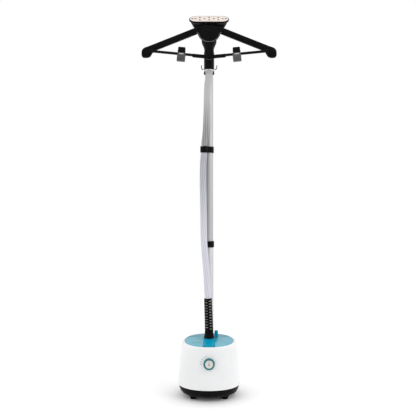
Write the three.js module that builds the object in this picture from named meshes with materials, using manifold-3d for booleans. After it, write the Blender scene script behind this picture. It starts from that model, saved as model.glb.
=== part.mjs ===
// Upright garment steamer: base with a lift-out tank, two-stage telescopic pole, folding hanger,
// hand-held steam head and a woven steam hose. Millimetres, +Z up, the front faces -Y, +X is its right
// as seen from the front. The origin is on the floor under the middle of the base.
import * as THREE from 'three';
import { mergeVertices } from 'three/addons/utils/BufferGeometryUtils.js';
import Module from 'manifold-3d';

const wasm = await Module();
wasm.setup();

// ---------------------------------------------------------------- driving dimensions
const GAP = 0.3;
const SIDES = 20;

const BASE_POWER = 2.1;
const LID_POWER = 2.2;
const FOOT = { x: 54, y: 42, height: 12, low: 8.5, high: 12 };
const TRAY_BOTTOM = 12;
const SHELL_BOTTOM = 41;
const DECK_TOP = 187;
const DECK_SLOPE = Math.tan(THREE.MathUtils.degToRad(3.8));
const SLOPE_START = 150;
const SLOPE_FULL = 178;
const LID = { across: 81.8, along: 74.8 };
const FLOOR = { low: 92, high: 96 };
const SLOT = { half: 34, front: -4 };
const VALVE = { x: -56, y: -5 };
const LEVER = { front: 19.5, back: 24.5, top: 213 };

const POLE_Y = 56;
const HOSE_Y = 22;
const PIPE_Y = 2;
const HANDLE_Y = 10;
const HOSE_RADIUS = 11.6;

const LOWER_TUBE = { outer: 15.5, inner: 14.75, bottom: 100, top: 512 };
const UPPER_TUBE = { outer: 14.3, inner: 13.2, bottom: 450, top: 1190 };
const COLLAR = { bottom: 504, top: 526, radius: 17.9 };
const CLIP = { bottom: 839, top: 861, x: -16.8, y: 33 };

const KNOB = { z: 130, front: -86.4, tilt: THREE.MathUtils.degToRad(3.8), radius: 18.8 };

const ARM_PIVOT = { x: 38, z: 1256.5 };
const ARM_TIP = { x: 212, z: 1181 };
const ARM_END = { x: 214.5, z: 1186.5 };
const ARM_HALF = 10.9;
const BULB = { x: 214.5, z: 1179.5, radius: 17.8 };
const LINK_PIVOT = { x: 7, z: 1161.5 };
const LINK_LENGTH = 46;
const ARM_FACE = { front: -17.6, back: -4.4 };
const LINK_FACE = { front: -27.5, back: -23.5 };
const ROD_Y = -31.6;
const ROD_RADIUS = 3.3;
const CLIP_OFFSET = 94;

const PLATE = { y: 6, z: 1301.5, tilt: THREE.MathUtils.degToRad(38), across: 66.6, along: 24.2 };
const RIM = { across: 69.2, along: 26.8, gap: 0.5 };

const COLOUR = {
  white: 0xf4f5f6, black: 0x17181a, charcoal: 0x2b2c2f, cyan: 0x0aa5c0, tank: 0x7fb8cc,
  aluminium: 0xc3c6c8, steel: 0x9a9c9e, cream: 0xeee3da, rubber: 0x111213, hose: 0xd9d9e4,
  grey: 0x8b8c8f, copper: 0xb57a4a,
};

const steamer = new THREE.Group();

// ---------------------------------------------------------------- helpers
function part(name, geometry, colour, roughness = 0.5, metalness = 0) {
  const material = new THREE.MeshStandardMaterial({ color: colour, roughness, metalness });
  const mesh = new THREE.Mesh(geometry, material);
  mesh.name = name;
  steamer.add(mesh);
  return mesh;
}

function solid(geometry) {
  const bare = geometry.clone();
  bare.deleteAttribute('normal');
  bare.deleteAttribute('uv');
  const merged = mergeVertices(bare, 1e-4);
  return new wasm.Manifold(new wasm.Mesh({
    numProp: 3,
    vertProperties: new Float32Array(merged.attributes.position.array),
    triVerts: new Uint32Array(merged.index.array),
  }));
}

function geometryOf(manifold) {
  const mesh = manifold.getMesh();
  const geometry = new THREE.BufferGeometry();
  geometry.setAttribute('position', new THREE.BufferAttribute(mesh.vertProperties, 3));
  geometry.setIndex(new THREE.BufferAttribute(mesh.triVerts, 1));
  return geometry;
}

function join(...geometries) {
  return geometryOf(geometries.map(solid).reduce((whole, next) => whole.add(next)));
}

function cut(geometry, ...tools) {
  return geometryOf(tools.map(solid).reduce((whole, tool) => whole.subtract(tool), solid(geometry)));
}

function overlap(first, second) {
  return geometryOf(solid(first).intersect(solid(second)));
}

function box(x0, x1, y0, y1, z0, z1) {
  const geometry = new THREE.BoxGeometry(x1 - x0, y1 - y0, z1 - z0);
  return geometry.translate((x0 + x1) / 2, (y0 + y1) / 2, (z0 + z1) / 2);
}

// A cylinder standing on z0, on the axis through (x, y).
function post(x, y, radius, z0, z1, sides = SIDES) {
  const geometry = new THREE.CylinderGeometry(radius, radius, z1 - z0, sides);
  return geometry.rotateX(Math.PI / 2).translate(x, y, (z0 + z1) / 2);
}

// A cylinder lying along Y, on the axis through (x, z).
function bar(x, z, radius, y0, y1, sides = SIDES) {
  const geometry = new THREE.CylinderGeometry(radius, radius, y1 - y0, sides);
  return geometry.translate(x, (y0 + y1) / 2, z);
}

// A turned piece about the vertical axis through (x, y). The profile lists [radius, z], up the outside.
function turned(profile, x = 0, y = 0, sides = SIDES) {
  const points = profile.map(([radius, z]) => new THREE.Vector2(radius, z));
  return new THREE.LatheGeometry(points, sides).rotateX(Math.PI / 2).translate(x, y, 0);
}

function sleeve(inner, outer, z0, z1, x = 0, y = 0, sides = SIDES) {
  return turned([[inner, z0], [outer, z0], [outer, z1], [inner, z1], [inner, z0]], x, y, sides);
}

function squircle(angle, power) {
  const reach = Math.abs(Math.cos(angle)) ** power + Math.abs(Math.sin(angle)) ** power;
  return reach ** (-1 / power);
}

// A closed loft through oval rings, lowest first: {z, across, along, y, tilt, power}, half sizes in mm.
function loft(rings, power, sides = 32) {
  const last = rings.length - 1;
  const geometry = new THREE.CylinderGeometry(1, 1, 1, sides, last);
  const position = geometry.attributes.position;
  for (let i = 0; i < position.count; i += 1) {
    const ring = rings[Math.round((position.getY(i) + 0.5) * last)];
    const angle = Math.atan2(-position.getZ(i), position.getX(i));
    const reach = Math.hypot(position.getX(i), position.getZ(i)) * squircle(angle, ring.power ?? power);
    const along = ring.along * Math.sin(angle) * reach;
    const tilt = ring.tilt ?? 0;
    position.setXYZ(
      i,
      ring.across * Math.cos(angle) * reach,
      (ring.y ?? 0) + along * Math.cos(tilt),
      ring.z + along * Math.sin(tilt),
    );
  }
  return geometry;
}

function ovals(rows) {
  return rows.map(([z, across, along, power]) => ({ z, across, along, power }));
}

// The top of the base falls towards the front: points above SLOPE_START follow it.
function sloped(geometry) {
  const position = geometry.attributes.position;
  for (let i = 0; i < position.count; i += 1) {
    const share = (position.getZ(i) - SLOPE_START) / (SLOPE_FULL - SLOPE_START);
    const lift = DECK_SLOPE * position.getY(i) * Math.min(Math.max(share, 0), 1);
    position.setZ(i, position.getZ(i) + lift);
  }
  return geometry;
}

function circle(radius, sides) {
  const shape = new THREE.Shape();
  for (let i = 0; i < sides; i += 1) {
    const angle = (2 * Math.PI * i) / sides;
    const method = i === 0 ? 'moveTo' : 'lineTo';
    shape[method](radius * Math.cos(angle), radius * Math.sin(angle));
  }
  return shape;
}

function tube(points, radius, sides = 8, steps = 24) {
  const path = new THREE.CatmullRomCurve3(points.map(([x, y, z]) => new THREE.Vector3(x, y, z)));
  return new THREE.ExtrudeGeometry(circle(radius, sides), { steps, extrudePath: path, bevelEnabled: false });
}

// An outline drawn in the front view (x, z), given thickness between the planes y0 and y1.
function frontPlate(shape, y0, y1, curveSegments = 12) {
  const geometry = new THREE.ExtrudeGeometry(shape, { depth: y1 - y0, bevelEnabled: false, curveSegments });
  return geometry.rotateX(Math.PI / 2).translate(0, y1, 0);
}

function mirrored(side, geometry) {
  if (side > 0) {
    return geometry;
  }
  const flipped = geometry.index ? geometry.toNonIndexed() : geometry.clone();
  const position = flipped.attributes.position;
  for (let i = 0; i < position.count; i += 3) {
    const corners = [0, 2, 1].map((k) => [position.getX(i + k), position.getY(i + k), position.getZ(i + k)]);
    corners.forEach(([x, y, z], k) => position.setXYZ(i + k, -x, y, z));
  }
  return flipped;
}

// ---------------------------------------------------------------- base
function buildTray() {
  const outer = loft(ovals([
    [TRAY_BOTTOM, 84, 71], [16, 94, 79.6], [22, 99.2, 84], [31, 102.6, 87], [SHELL_BOTTOM - 0.4, 104.2, 88.5],
    [SHELL_BOTTOM, 101.4, 85.8], [SHELL_BOTTOM + 7.6, 101, 85.4],
  ]), BASE_POWER);
  const inner = loft(ovals([[15, 80, 67.4], [22, 93, 78.6], [31, 96.4, 81.6], [50, 98, 82.6]]), BASE_POWER);
  part('base_tray', cut(outer, inner), COLOUR.black, 0.6);
  for (const [row, y] of [['front', -FOOT.y], ['rear', FOOT.y]]) {
    for (const [side, x] of [['left', -FOOT.x], ['right', FOOT.x]]) {
      const profile = [[0, 0], [FOOT.low, 0], [FOOT.high, FOOT.height - GAP], [0, FOOT.height - GAP]];
      part(`foot_${row}_${side}`, turned(profile, x, y, 20), COLOUR.rubber, 0.8);
    }
  }
}

function buildShell() {
  const outer = loft(ovals([
    [SHELL_BOTTOM, 105.3, 89.4], [57, 106, 90], [114, 102.9, 87.5], [167, 97.3, 82.8], [177, 95.4, 81.3],
    [183, 91.6, 79.2], [DECK_TOP, 86, 77.3, LID_POWER + 0.1],
  ]), BASE_POWER);
  const inner = loft(ovals([
    [SHELL_BOTTOM - 1, 102.4, 86.6], [57, 103, 87], [170, 93.4, 79.3], [179, 84, 76.6, LID_POWER],
    [DECK_TOP + 2, 82.4, 75.4, LID_POWER],
  ]), BASE_POWER);
  const knobHole = bar(0, KNOB.z, 6, -100, -60, 20);
  const glandHole = bar(0, 58, 7, 60, 100, 20);
  part('body_shell', sloped(cut(outer, inner, knobHole, glandHole)), COLOUR.white, 0.18);
  const gland = new THREE.LatheGeometry([
    [3.4, 80], [6.5, 80], [6.5, 90.3], [10, 90.3], [10, 93], [6.4, 94], [5.2, 98], [3.4, 98], [3.4, 80],
  ].map(([radius, y]) => new THREE.Vector2(radius, y)), 14).translate(0, 0, 58);
  part('cord_gland', gland, COLOUR.black, 0.6);
}

function buildChassis() {
  const floor = loft(ovals([[FLOOR.low, 99, 83], [FLOOR.high, 99, 83]]), BASE_POWER);
  const column = post(0, POLE_Y, 17, 60, 189);
  const bore = post(0, POLE_Y, LOWER_TUBE.outer + 0.4, 64, 207);
  const pipeHole = post(0, PIPE_Y, 5.5, 90, 97, 20);
  const valveHole = post(VALVE.x, VALVE.y, 19.5, 90, 97);
  part('chassis', cut(join(floor, column), bore, pipeHole, valveHole), COLOUR.grey, 0.6);
  part('boiler_pot', turned([
    [0, 24], [36, 24], [38, 28], [38, 76], [34, 76], [34, 30], [32, 28], [0, 28],
  ], 0, -18), COLOUR.aluminium, 0.5, 0.9);
  const boilerLid = cut(post(0, -18, 40, 76.3, 81), post(0, PIPE_Y, 4.4, 70, 90, 16));
  part('boiler_lid', boilerLid, COLOUR.aluminium, 0.5, 0.9);
  part('thermostat', post(22, -34, 8, 81.3, 90, 16), COLOUR.cream, 0.5);
  part('steam_pipe', tube([
    [0, PIPE_Y, 72], [0, PIPE_Y, 86], [0, PIPE_Y, 104], [0, 8, 122], [0, 16, 138], [0, HOSE_Y, 156],
    [0, HOSE_Y, 182],
  ], 3.8, 8, 12), COLOUR.copper, 0.6);
  part('valve_seat', turned([
    [0, 82], [19, 82], [19, 95.7], [17.6, 95.7], [17.6, 85], [2, 85], [2, 92.4], [0, 92.4],
  ], VALVE.x, VALVE.y), COLOUR.black, 0.5);
  part('rotary_switch', box(-12, 12, -78, -60, KNOB.z - 12, KNOB.z + 12), COLOUR.black, 0.6);
}

function slotShape(half, front, z0, z1) {
  return join(box(-half, half, front + half, 110, z0, z1), post(0, front + half, half, z0, z1, 28));
}

function buildTank() {
  const outer = loft([
    { z: 98, across: 76, along: 59, y: 10 }, { z: 101, across: 79, along: 62, y: 10 },
    { z: 158, across: 79, along: 62, y: 10 }, { z: 166, across: LID.across, along: LID.along },
    { z: 185, across: LID.across, along: LID.along },
    { z: 188, across: LID.across - 2.5, along: LID.along - 2.5 },
  ], LID_POWER);
  const inner = loft([
    { z: 100.6, across: 74, along: 57, y: 10 }, { z: 158, across: 76.4, along: 59.4, y: 10 },
    { z: 166, across: LID.across - 2.6, along: LID.along - 2.6 },
    { z: 184, across: LID.across - 2.8, along: LID.along - 2.8 },
  ], LID_POWER);
  const hollow = cut(inner, slotShape(SLOT.half + 2.6, SLOT.front - 2.6, 90, 200));
  const recess = box(-20.4, 20.4, -90, -12, 185.6, 200);
  const fill = post(VALVE.x, VALVE.y, 14.9, 90, 102, 18);
  const slot = slotShape(SLOT.half, SLOT.front, 90, 200);
  part('water_tank', sloped(cut(outer, slot, hollow, recess, fill)), COLOUR.tank, 0.1);
  const handleBlank = loft(ovals([
    [186, LID.across - 1, LID.along - 1], [188, LID.across - 2.5, LID.along - 2.5],
    [189, LID.across - 5, LID.along - 5],
  ]), LID_POWER);
  part('tank_handle', sloped(overlap(handleBlank, box(-20, 20, -90, -12.4, 180, 200))), COLOUR.cyan, 0.25);
  const cage = join(
    turned([
      [0, 94.6], [17, 94.6], [17, 96], [14.5, 96], [14.5, 105], [0, 105],
    ], VALVE.x, VALVE.y, 18),
    box(VALVE.x - 9, VALVE.x - 7, VALVE.y - 2, VALVE.y + 2, 104, 122),
    box(VALVE.x + 7, VALVE.x + 9, VALVE.y - 2, VALVE.y + 2, 104, 122),
    box(VALVE.x - 9, VALVE.x + 9, VALVE.y - 3, VALVE.y + 3, 120, 122),
  );
  part('tank_cap', cut(cage, post(VALVE.x, VALVE.y, 3.1, 90, 110, 16)), COLOUR.black, 0.5);
  part('tank_seal', turned([[15.1, 96.3], [16.8, 96.3], [16.8, 97.7], [15.1, 97.7], [15.1, 96.3]],
    VALVE.x, VALVE.y, 18), COLOUR.rubber, 0.8);
  part('valve_plunger', turned([
    [0, 92.8], [2.5, 92.8], [2.5, 105.3], [6, 105.3], [6, 107], [0, 107],
  ], VALVE.x, VALVE.y, 16), COLOUR.grey, 0.4);
  const coil = [];
  const turns = 4;
  const steps = turns * 6;
  for (let i = 0; i <= steps; i += 1) {
    const angle = (i * Math.PI) / 3;
    const x = VALVE.x + 4.6 * Math.cos(angle);
    const y = VALVE.y + 4.6 * Math.sin(angle);
    coil.push([x, y, 108.2 + (i * 10.6) / steps]);
  }
  part('valve_spring', tube(coil, 0.6, 4, turns * 7), COLOUR.steel, 0.3, 1);
}

function buildDeck() {
  const oval = loft(ovals([[176, 81.4, 74.4], [186, 81.4, 74.4], [DECK_TOP + 1, 80, 73]]), LID_POWER);
  const slot = slotShape(SLOT.half - 0.5, SLOT.front + 0.5, 170, 200);
  const deck = cut(overlap(oval, slot), post(0, HOSE_Y, 8, 170, 200, 20), post(0, POLE_Y, 17.4, 170, 200));
  part('top_deck', sloped(deck), COLOUR.tank, 0.3);
  part('connector_spigot', sleeve(7, 11, 190.6, 212.6, 0, HOSE_Y, 20), COLOUR.black, 0.5);
  part('hose_nut', turned([
    [11.4, 191], [17.8, 191], [17.8, 196], [14.9, 213], [11.4, 213], [11.4, 191],
  ], 0, HOSE_Y, 24), COLOUR.black, 0.5);
  const lever = join(
    box(18.8, 31.2, LEVER.front, LEVER.back, 190.9, LEVER.top),
    box(21.8, 28.2, LEVER.front, LEVER.back, LEVER.top - 1, LEVER.top + 3),
    bar(21.8, LEVER.top, 3, LEVER.front, LEVER.back, 12),
    bar(28.2, LEVER.top, 3, LEVER.front, LEVER.back, 12),
  );
  part('hose_lock_lever', lever, COLOUR.cyan, 0.3);
  const relief = turned([
    [HOSE_RADIUS - 2.5, 213.4], [13.2, 213.4], [12.4, 300], [12, 328], [HOSE_RADIUS - 2.5, 328],
    [HOSE_RADIUS - 2.5, 213.4],
  ], 0, 0, 24);
  relief.translate(0, 0, -213.4).rotateY(THREE.MathUtils.degToRad(-2)).translate(0, HOSE_Y, 213.9);
  part('strain_relief', relief, COLOUR.black, 0.6);
}

function buildKnob() {
  const ring = new THREE.LatheGeometry([
    [14.6, 3], [14.6, 0.6], [18.8, 0.6], [18.8, 8.4], [17.6, 10.4], [14.6, 10.4], [14.6, 3],
  ].map(([radius, y]) => new THREE.Vector2(radius, y)), 28);
  const face = new THREE.LatheGeometry([
    [0, -5.6], [3, -5.6], [3, 1.2], [14.2, 1.2], [14.2, 10], [12.8, 11], [0, 11],
  ].map(([radius, y]) => new THREE.Vector2(radius, y)), 24);
  for (const geometry of [ring, face]) {
    geometry.rotateX(Math.PI - KNOB.tilt).translate(0, KNOB.front, KNOB.z);
  }
  part('knob_ring', ring, COLOUR.cyan, 0.3);
  part('knob_face', face, COLOUR.cream, 0.4);
}

// ---------------------------------------------------------------- pole and hose
const HOSE_LOWER_ROUTE = [
  [-4.2, 22, 328.8], [-6.5, 22, 372], [-9, 22.5, 418], [-12.5, 23.5, 460], [-16, 24.5, 502],
  [-18, 25.5, 531], [-18.8, 26.5, 566], [-19.4, 28, 622], [-20.4, 29.5, 679], [-21.3, 31, 735],
  [-21, 32.3, 791], [-19, 32.9, 819], [-17.4, 33, 837.8],
];
const HOSE_UPPER_ROUTE = [
  [-16.4, 32.9, 862.4], [-14.6, 31.5, 882], [-12, 29.4, 903], [-9.5, 25.6, 945], [-8, 21.4, 988],
  [-7, 17.2, 1030], [-5.5, 13.4, 1072], [-2, 10.6, 1095], [-0.5, 10, 1110],
];

function buildPole() {
  part('lower_tube', sleeve(LOWER_TUBE.inner, LOWER_TUBE.outer, LOWER_TUBE.bottom, LOWER_TUBE.top, 0, POLE_Y),
    COLOUR.aluminium, 0.35, 0.9);
  part('upper_tube', sleeve(UPPER_TUBE.inner, UPPER_TUBE.outer, UPPER_TUBE.bottom, UPPER_TUBE.top, 0, POLE_Y),
    COLOUR.aluminium, 0.35, 0.9);
  part('twist_collar', turned([
    [15.9, COLLAR.bottom], [17.4, COLLAR.bottom], [COLLAR.radius, COLLAR.bottom + 2],
    [COLLAR.radius, COLLAR.top - 2], [17.2, COLLAR.top], [14.7, COLLAR.top], [14.7, 512.5],
    [15.9, 512.5], [15.9, COLLAR.bottom],
  ], 0, POLE_Y), COLOUR.black, 0.5);
  const rings = join(
    post(0, POLE_Y, 17, CLIP.bottom, CLIP.top),
    post(CLIP.x, CLIP.y, 14.3, CLIP.bottom, CLIP.top),
  );
  const bores = [
    post(0, POLE_Y, UPPER_TUBE.outer + 0.3, CLIP.bottom - 1, CLIP.top + 1),
    post(CLIP.x, CLIP.y, HOSE_RADIUS - 1.6, CLIP.bottom - 1, CLIP.top + 1),
  ];
  part('hose_clip', cut(rings, ...bores), COLOUR.black, 0.5);
  part('hose_lower', tube(HOSE_LOWER_ROUTE, HOSE_RADIUS, 10, 16), COLOUR.hose, 0.8);
  part('hose_upper', tube(HOSE_UPPER_ROUTE, HOSE_RADIUS, 10, 10), COLOUR.hose, 0.8);
}

// ---------------------------------------------------------------- hanger
function buildHub() {
  const frame = join(
    post(0, POLE_Y, 19.5, 1118, 1198),
    box(-25.9, 25.9, 34, 38, 1221, 1246),
    box(-16, 16, 34, 38, 1186, 1221.5),
    box(-6, 6, 36, 66, 1190, 1240),
    box(-25.9, -22.9, -17.9, 38, 1222, 1246),
    box(22.9, 25.9, -17.9, 38, 1222, 1246),
    box(-48, -22.9, -4.1, -1.5, 1236, 1263),
    box(22.9, 48, -4.1, -1.5, 1236, 1263),
  );
  const poleBore = post(0, POLE_Y, UPPER_TUBE.outer + 0.35, 1110, UPPER_TUBE.top + 0.5);
  part('hub_frame', cut(frame, poleBore), COLOUR.charcoal);
  const outline = new THREE.Shape();
  outline.moveTo(0, 1271);
  outline.quadraticCurveTo(28, 1270.5, 49, 1259);
  outline.quadraticCurveTo(50, 1249, 39, 1241.5);
  outline.bezierCurveTo(33, 1222, 18, 1212.5, 0, 1212.5);
  outline.bezierCurveTo(-18, 1212.5, -33, 1222, -39, 1241.5);
  outline.quadraticCurveTo(-50, 1249, -49, 1259);
  outline.quadraticCurveTo(-28, 1270.5, 0, 1271);
  part('hub_shield', frontPlate(outline, -22.5, -18.2, 8), COLOUR.charcoal, 0.55);
  const tongue = join(box(-9.5, 9.5, -17.5, -11.5, 1164, 1236), bar(0, 1165, 14, -17.5, -11.5, 28));
  part('bar_bracket', tongue, COLOUR.charcoal, 0.55);
  for (const [side, sign] of [['left', -1], ['right', 1]]) {
    part(`${side}_arm_pin`, bar(sign * ARM_PIVOT.x, ARM_PIVOT.z, 4, -17.9, -4.5, 12), COLOUR.steel, 0.3, 1);
    const pin = new THREE.LatheGeometry([
      [0, -28], [3, -28], [3, -23.2], [5.2, -23.2], [5.2, -17.9], [0, -17.9],
    ].map(([radius, y]) => new THREE.Vector2(radius, y)), 12).translate(sign * LINK_PIVOT.x, 0, LINK_PIVOT.z);
    part(`${side}_link_pin`, pin, COLOUR.steel, 0.3, 1);
    const hook = tube([
      [20.9, POLE_Y - 6, 1136], [23.5, POLE_Y - 9, 1134], [26, POLE_Y - 12, 1136.5],
      [27.2, POLE_Y - 13, 1142], [27.4, POLE_Y - 13, 1148],
    ], 1.2, 5, 8);
    part(`${side}_hook`, mirrored(sign, hook), COLOUR.black, 0.4, 0.5);
  }
}

// Direction from one point of the front view to another, as an angle from +X towards +Z.
function bearing(from, to) {
  return Math.atan2(to.z - from.z, to.x - from.x);
}

function eyeBar(from, to, half, fromEye, toEye, hole, y0, y1) {
  const length = Math.hypot(to.x - from.x, to.z - from.z);
  const web = box(0, length, y0, y1, -half, half).rotateY(-bearing(from, to)).translate(from.x, 0, from.z);
  const plate = join(web, bar(from.x, from.z, fromEye, y0, y1, 18), bar(to.x, to.z, toEye, y0, y1, 18));
  return cut(plate, bar(from.x, from.z, hole, y0 - 1, y1 + 1, 12));
}

const BAR_BEARING = bearing(LINK_PIVOT, ARM_TIP);
const ELBOW = {
  x: LINK_PIVOT.x + LINK_LENGTH * Math.cos(BAR_BEARING),
  z: LINK_PIVOT.z + LINK_LENGTH * Math.sin(BAR_BEARING),
};

function buildArm(side, sign) {
  const beam = eyeBar(ARM_PIVOT, ARM_END, ARM_HALF, ARM_HALF, ARM_HALF, 4.3, ARM_FACE.front, ARM_FACE.back);
  const bulb = bar(BULB.x, BULB.z, BULB.radius, ARM_FACE.front, ARM_FACE.back, 28);
  const corner = bar(BULB.x + 8.2, BULB.z - 8.2, 9.5, ARM_FACE.front, ARM_FACE.back, 20);
  const arm = join(beam, bulb, corner);
  const stud = bar(ARM_TIP.x, ARM_TIP.z, 3, -35.6, ARM_FACE.front + 1, 12);
  part(`${side}_arm`, mirrored(sign, join(arm, stud)), COLOUR.charcoal, 0.55);
  const link = eyeBar(LINK_PIVOT, ELBOW, 6.2, 6.4, 6.4, 3.4, LINK_FACE.front, LINK_FACE.back);
  part(`${side}_link`, mirrored(sign, link), COLOUR.charcoal, 0.55);
  const length = Math.hypot(ARM_TIP.x - ELBOW.x, ARM_TIP.z - ELBOW.z);
  const shaft = new THREE.CylinderGeometry(ROD_RADIUS, ROD_RADIUS, length - 6, 10);
  shaft.rotateZ(Math.PI / 2).translate(length / 2, ROD_Y, 0);
  shaft.rotateY(-BAR_BEARING).translate(ELBOW.x, 0, ELBOW.z);
  const eyes = [
    bar(ELBOW.x, ELBOW.z, 5, ROD_Y - 2, ROD_Y + 3, 14),
    bar(ARM_TIP.x, ARM_TIP.z, 7, ROD_Y - 2, ROD_Y + 3, 14),
  ];
  const rod = cut(join(shaft, ...eyes), bar(ARM_TIP.x, ARM_TIP.z, 3.4, -50, -20, 12));
  part(`${side}_rod`, mirrored(sign, rod), COLOUR.charcoal, 0.5);
}

function buildTrouserClip(side, sign) {
  const height = LINK_PIVOT.z + (CLIP_OFFSET - LINK_PIVOT.x) * Math.tan(BAR_BEARING);
  const place = (geometry) => {
    geometry.rotateY(-BAR_BEARING).translate(CLIP_OFFSET, ROD_Y, height);
    return mirrored(sign, geometry);
  };
  const barrel = new THREE.CylinderGeometry(5.2, 5.2, 28, 12).rotateZ(Math.PI / 2);
  const bore = new THREE.CylinderGeometry(ROD_RADIUS + 0.5, ROD_RADIUS + 0.5, 40, 10).rotateZ(Math.PI / 2);
  const back = join(box(-14, 14, -0.4, 3.2, -26, 19), barrel);
  part(`${side}_clip_back`, place(cut(back, bore)), COLOUR.grey, 0.45);
  const front = join(box(-14, 14, -9.6, -5.8, -26, 22), box(-14, 14, -7, -1, -26, -14));
  part(`${side}_clip_front`, place(front), COLOUR.grey, 0.45);
}

// ---------------------------------------------------------------- hand-held steamer
function plateRing(offset, across, along, tilt = PLATE.tilt) {
  const y = PLATE.y + offset * Math.sin(PLATE.tilt);
  const z = PLATE.z - offset * Math.cos(PLATE.tilt);
  return { z, across, along, y, tilt };
}

function stadium(across, along) {
  const shape = new THREE.Shape();
  const straight = across - along;
  shape.moveTo(-straight, -along);
  shape.lineTo(straight, -along);
  shape.absarc(straight, 0, along, -Math.PI / 2, Math.PI / 2);
  shape.lineTo(-straight, along);
  shape.absarc(-straight, 0, along, Math.PI / 2, 1.5 * Math.PI);
  return shape;
}

function onPlate(shape, low, high) {
  const options = { depth: high - low, bevelEnabled: false, curveSegments: 6 };
  const geometry = new THREE.ExtrudeGeometry(shape, options);
  return geometry.translate(0, 0, low).rotateX(PLATE.tilt).translate(0, PLATE.y, PLATE.z);
}

function buildHandset() {
  const steamPlate = stadium(PLATE.across, PLATE.along);
  const holes = [
    ...[-58, -47.6, -16.3, 16.3, 47.6, 58].map((x) => [x, 0]),
    ...[-32, 0, 32].flatMap((x) => [[x, -10.8], [x, 10.8]]),
  ];
  for (const [x, y] of holes) {
    const hole = new THREE.Path();
    hole.absarc(x, y, 1.9, 0, 2 * Math.PI);
    steamPlate.holes.push(hole);
  }
  part('steam_plate', onPlate(steamPlate, -2.4, 0), COLOUR.cream, 0.4);
  const wall = stadium(RIM.across, RIM.along);
  wall.holes.push(stadium(PLATE.across + RIM.gap, PLATE.along + RIM.gap));
  const ledge = stadium(RIM.across, RIM.along);
  ledge.holes.push(stadium(PLATE.across - 6, PLATE.along - 6));
  part('head_rim', join(onPlate(wall, -4, -0.4), onPlate(ledge, -6.4, -2.9)), COLOUR.black, 0.6);
  const outside = loft([
    { z: 1222.6, across: 22, along: 19, y: HANDLE_Y }, { z: 1248, across: 22.4, along: 17, y: 12.5 },
    { z: 1260, across: 40, along: 17.5, y: 15.5, tilt: 0.25 },
    { z: 1272, across: 52, along: 19, y: 18, tilt: 0.45 },
    plateRing(14, 63, 23), plateRing(6.8, 66.5, 25.4),
  ], 2.5, 28);
  const inside = loft([
    { z: 1221, across: 12, along: 10, y: HANDLE_Y }, { z: 1252, across: 15, along: 12, y: 13 },
    { z: 1268, across: 40, along: 14, y: 17.5, tilt: 0.4 }, plateRing(12, 58, 19), plateRing(4, 61, 21),
  ], 2.5, 20);
  part('head_shell', cut(outside, inside), COLOUR.charcoal, 0.25);
  const grip = loft([
    { z: 1129, across: 16.2, along: 16.2, y: HANDLE_Y }, { z: 1131, across: 16.6, along: 16.6, y: HANDLE_Y },
    { z: 1200, across: 16.6, along: 16.6, y: HANDLE_Y }, { z: 1212, across: 20.5, along: 18, y: HANDLE_Y },
    { z: 1222.2, across: 22, along: 19, y: HANDLE_Y },
  ], 2.2, 20);
  part('handle_grip', cut(grip, post(0, HANDLE_Y, 11, 1120, 1230, 16)), COLOUR.black, 0.5);
  part('handle_tube', sleeve(4, 6, 1129, 1262, 0, HANDLE_Y + 1, 16), COLOUR.cream, 0.6);
  part('hose_cuff', turned([
    [9.5, 1111.7], [13, 1111.7], [14.3, 1114], [14.3, 1128.6], [9.5, 1128.6], [9.5, 1111.7],
  ], 0, HANDLE_Y, 24), COLOUR.aluminium, 0.3, 0.6);
}

buildTray();
buildShell();
buildChassis();
buildTank();
buildDeck();
buildKnob();
buildPole();
buildHub();
for (const [side, sign] of [['left', -1], ['right', 1]]) {
  buildArm(side, sign);
  buildTrouserClip(side, sign);
}
buildHandset();

export default steamer;
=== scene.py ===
"""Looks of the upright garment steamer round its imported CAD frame. Blender 4.5, metres, front faces -Y."""
import math

import bmesh
import bpy
from mathutils import Matrix, Vector


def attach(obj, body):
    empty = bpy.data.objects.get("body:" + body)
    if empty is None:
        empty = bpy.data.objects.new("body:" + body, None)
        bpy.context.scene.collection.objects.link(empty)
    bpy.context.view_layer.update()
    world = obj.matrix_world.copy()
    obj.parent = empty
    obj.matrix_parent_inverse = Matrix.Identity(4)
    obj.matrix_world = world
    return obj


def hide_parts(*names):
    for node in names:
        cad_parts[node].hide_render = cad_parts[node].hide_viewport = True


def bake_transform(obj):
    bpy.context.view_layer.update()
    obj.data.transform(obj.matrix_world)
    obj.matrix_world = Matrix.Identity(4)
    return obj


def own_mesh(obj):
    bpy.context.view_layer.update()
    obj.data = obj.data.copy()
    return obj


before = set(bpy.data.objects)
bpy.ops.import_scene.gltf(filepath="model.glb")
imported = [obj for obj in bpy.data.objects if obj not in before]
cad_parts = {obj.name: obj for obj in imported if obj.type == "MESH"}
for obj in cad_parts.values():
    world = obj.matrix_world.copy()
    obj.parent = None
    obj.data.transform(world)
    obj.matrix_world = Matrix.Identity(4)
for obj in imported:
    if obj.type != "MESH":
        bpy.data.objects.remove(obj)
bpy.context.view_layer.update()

MM = 0.001
RAD = math.pi / 180
TURN = 2 * math.pi
SIDES = (("left", -1), ("right", 1))

# ---- sizes repeated from the CAD, mm
POLE_Y = 56
HOSE_Y = 22
HOSE_RADIUS = 11.6
HANDLE_Y = 10
DECK_SLOPE = math.tan(3.8 * RAD)
SLOPE_START = 150
SLOPE_FULL = 178
BASE_POWER = 2.1
LID_POWER = 2.2
KNOB_Z = 130
KNOB_FRONT = -86.4
KNOB_TILT = 3.8 * RAD
GLAND_Z = 58
PLATE_Y = 6
PLATE_Z = 1301.5
PLATE_TILT = 38 * RAD
ARM_PIVOT = (38, 1256.5)
ARM_TIP = (212, 1181)
LINK_PIVOT = (7, 1161.5)
LINK_LENGTH = 46
ROD_Y = -31.6
CLIP = (94, 1169.8)
BAR_BEARING = math.atan2(ARM_TIP[1] - LINK_PIVOT[1], ARM_TIP[0] - LINK_PIVOT[0])
BAR_LENGTH = math.hypot(ARM_TIP[0] - LINK_PIVOT[0], ARM_TIP[1] - LINK_PIVOT[1])

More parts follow.
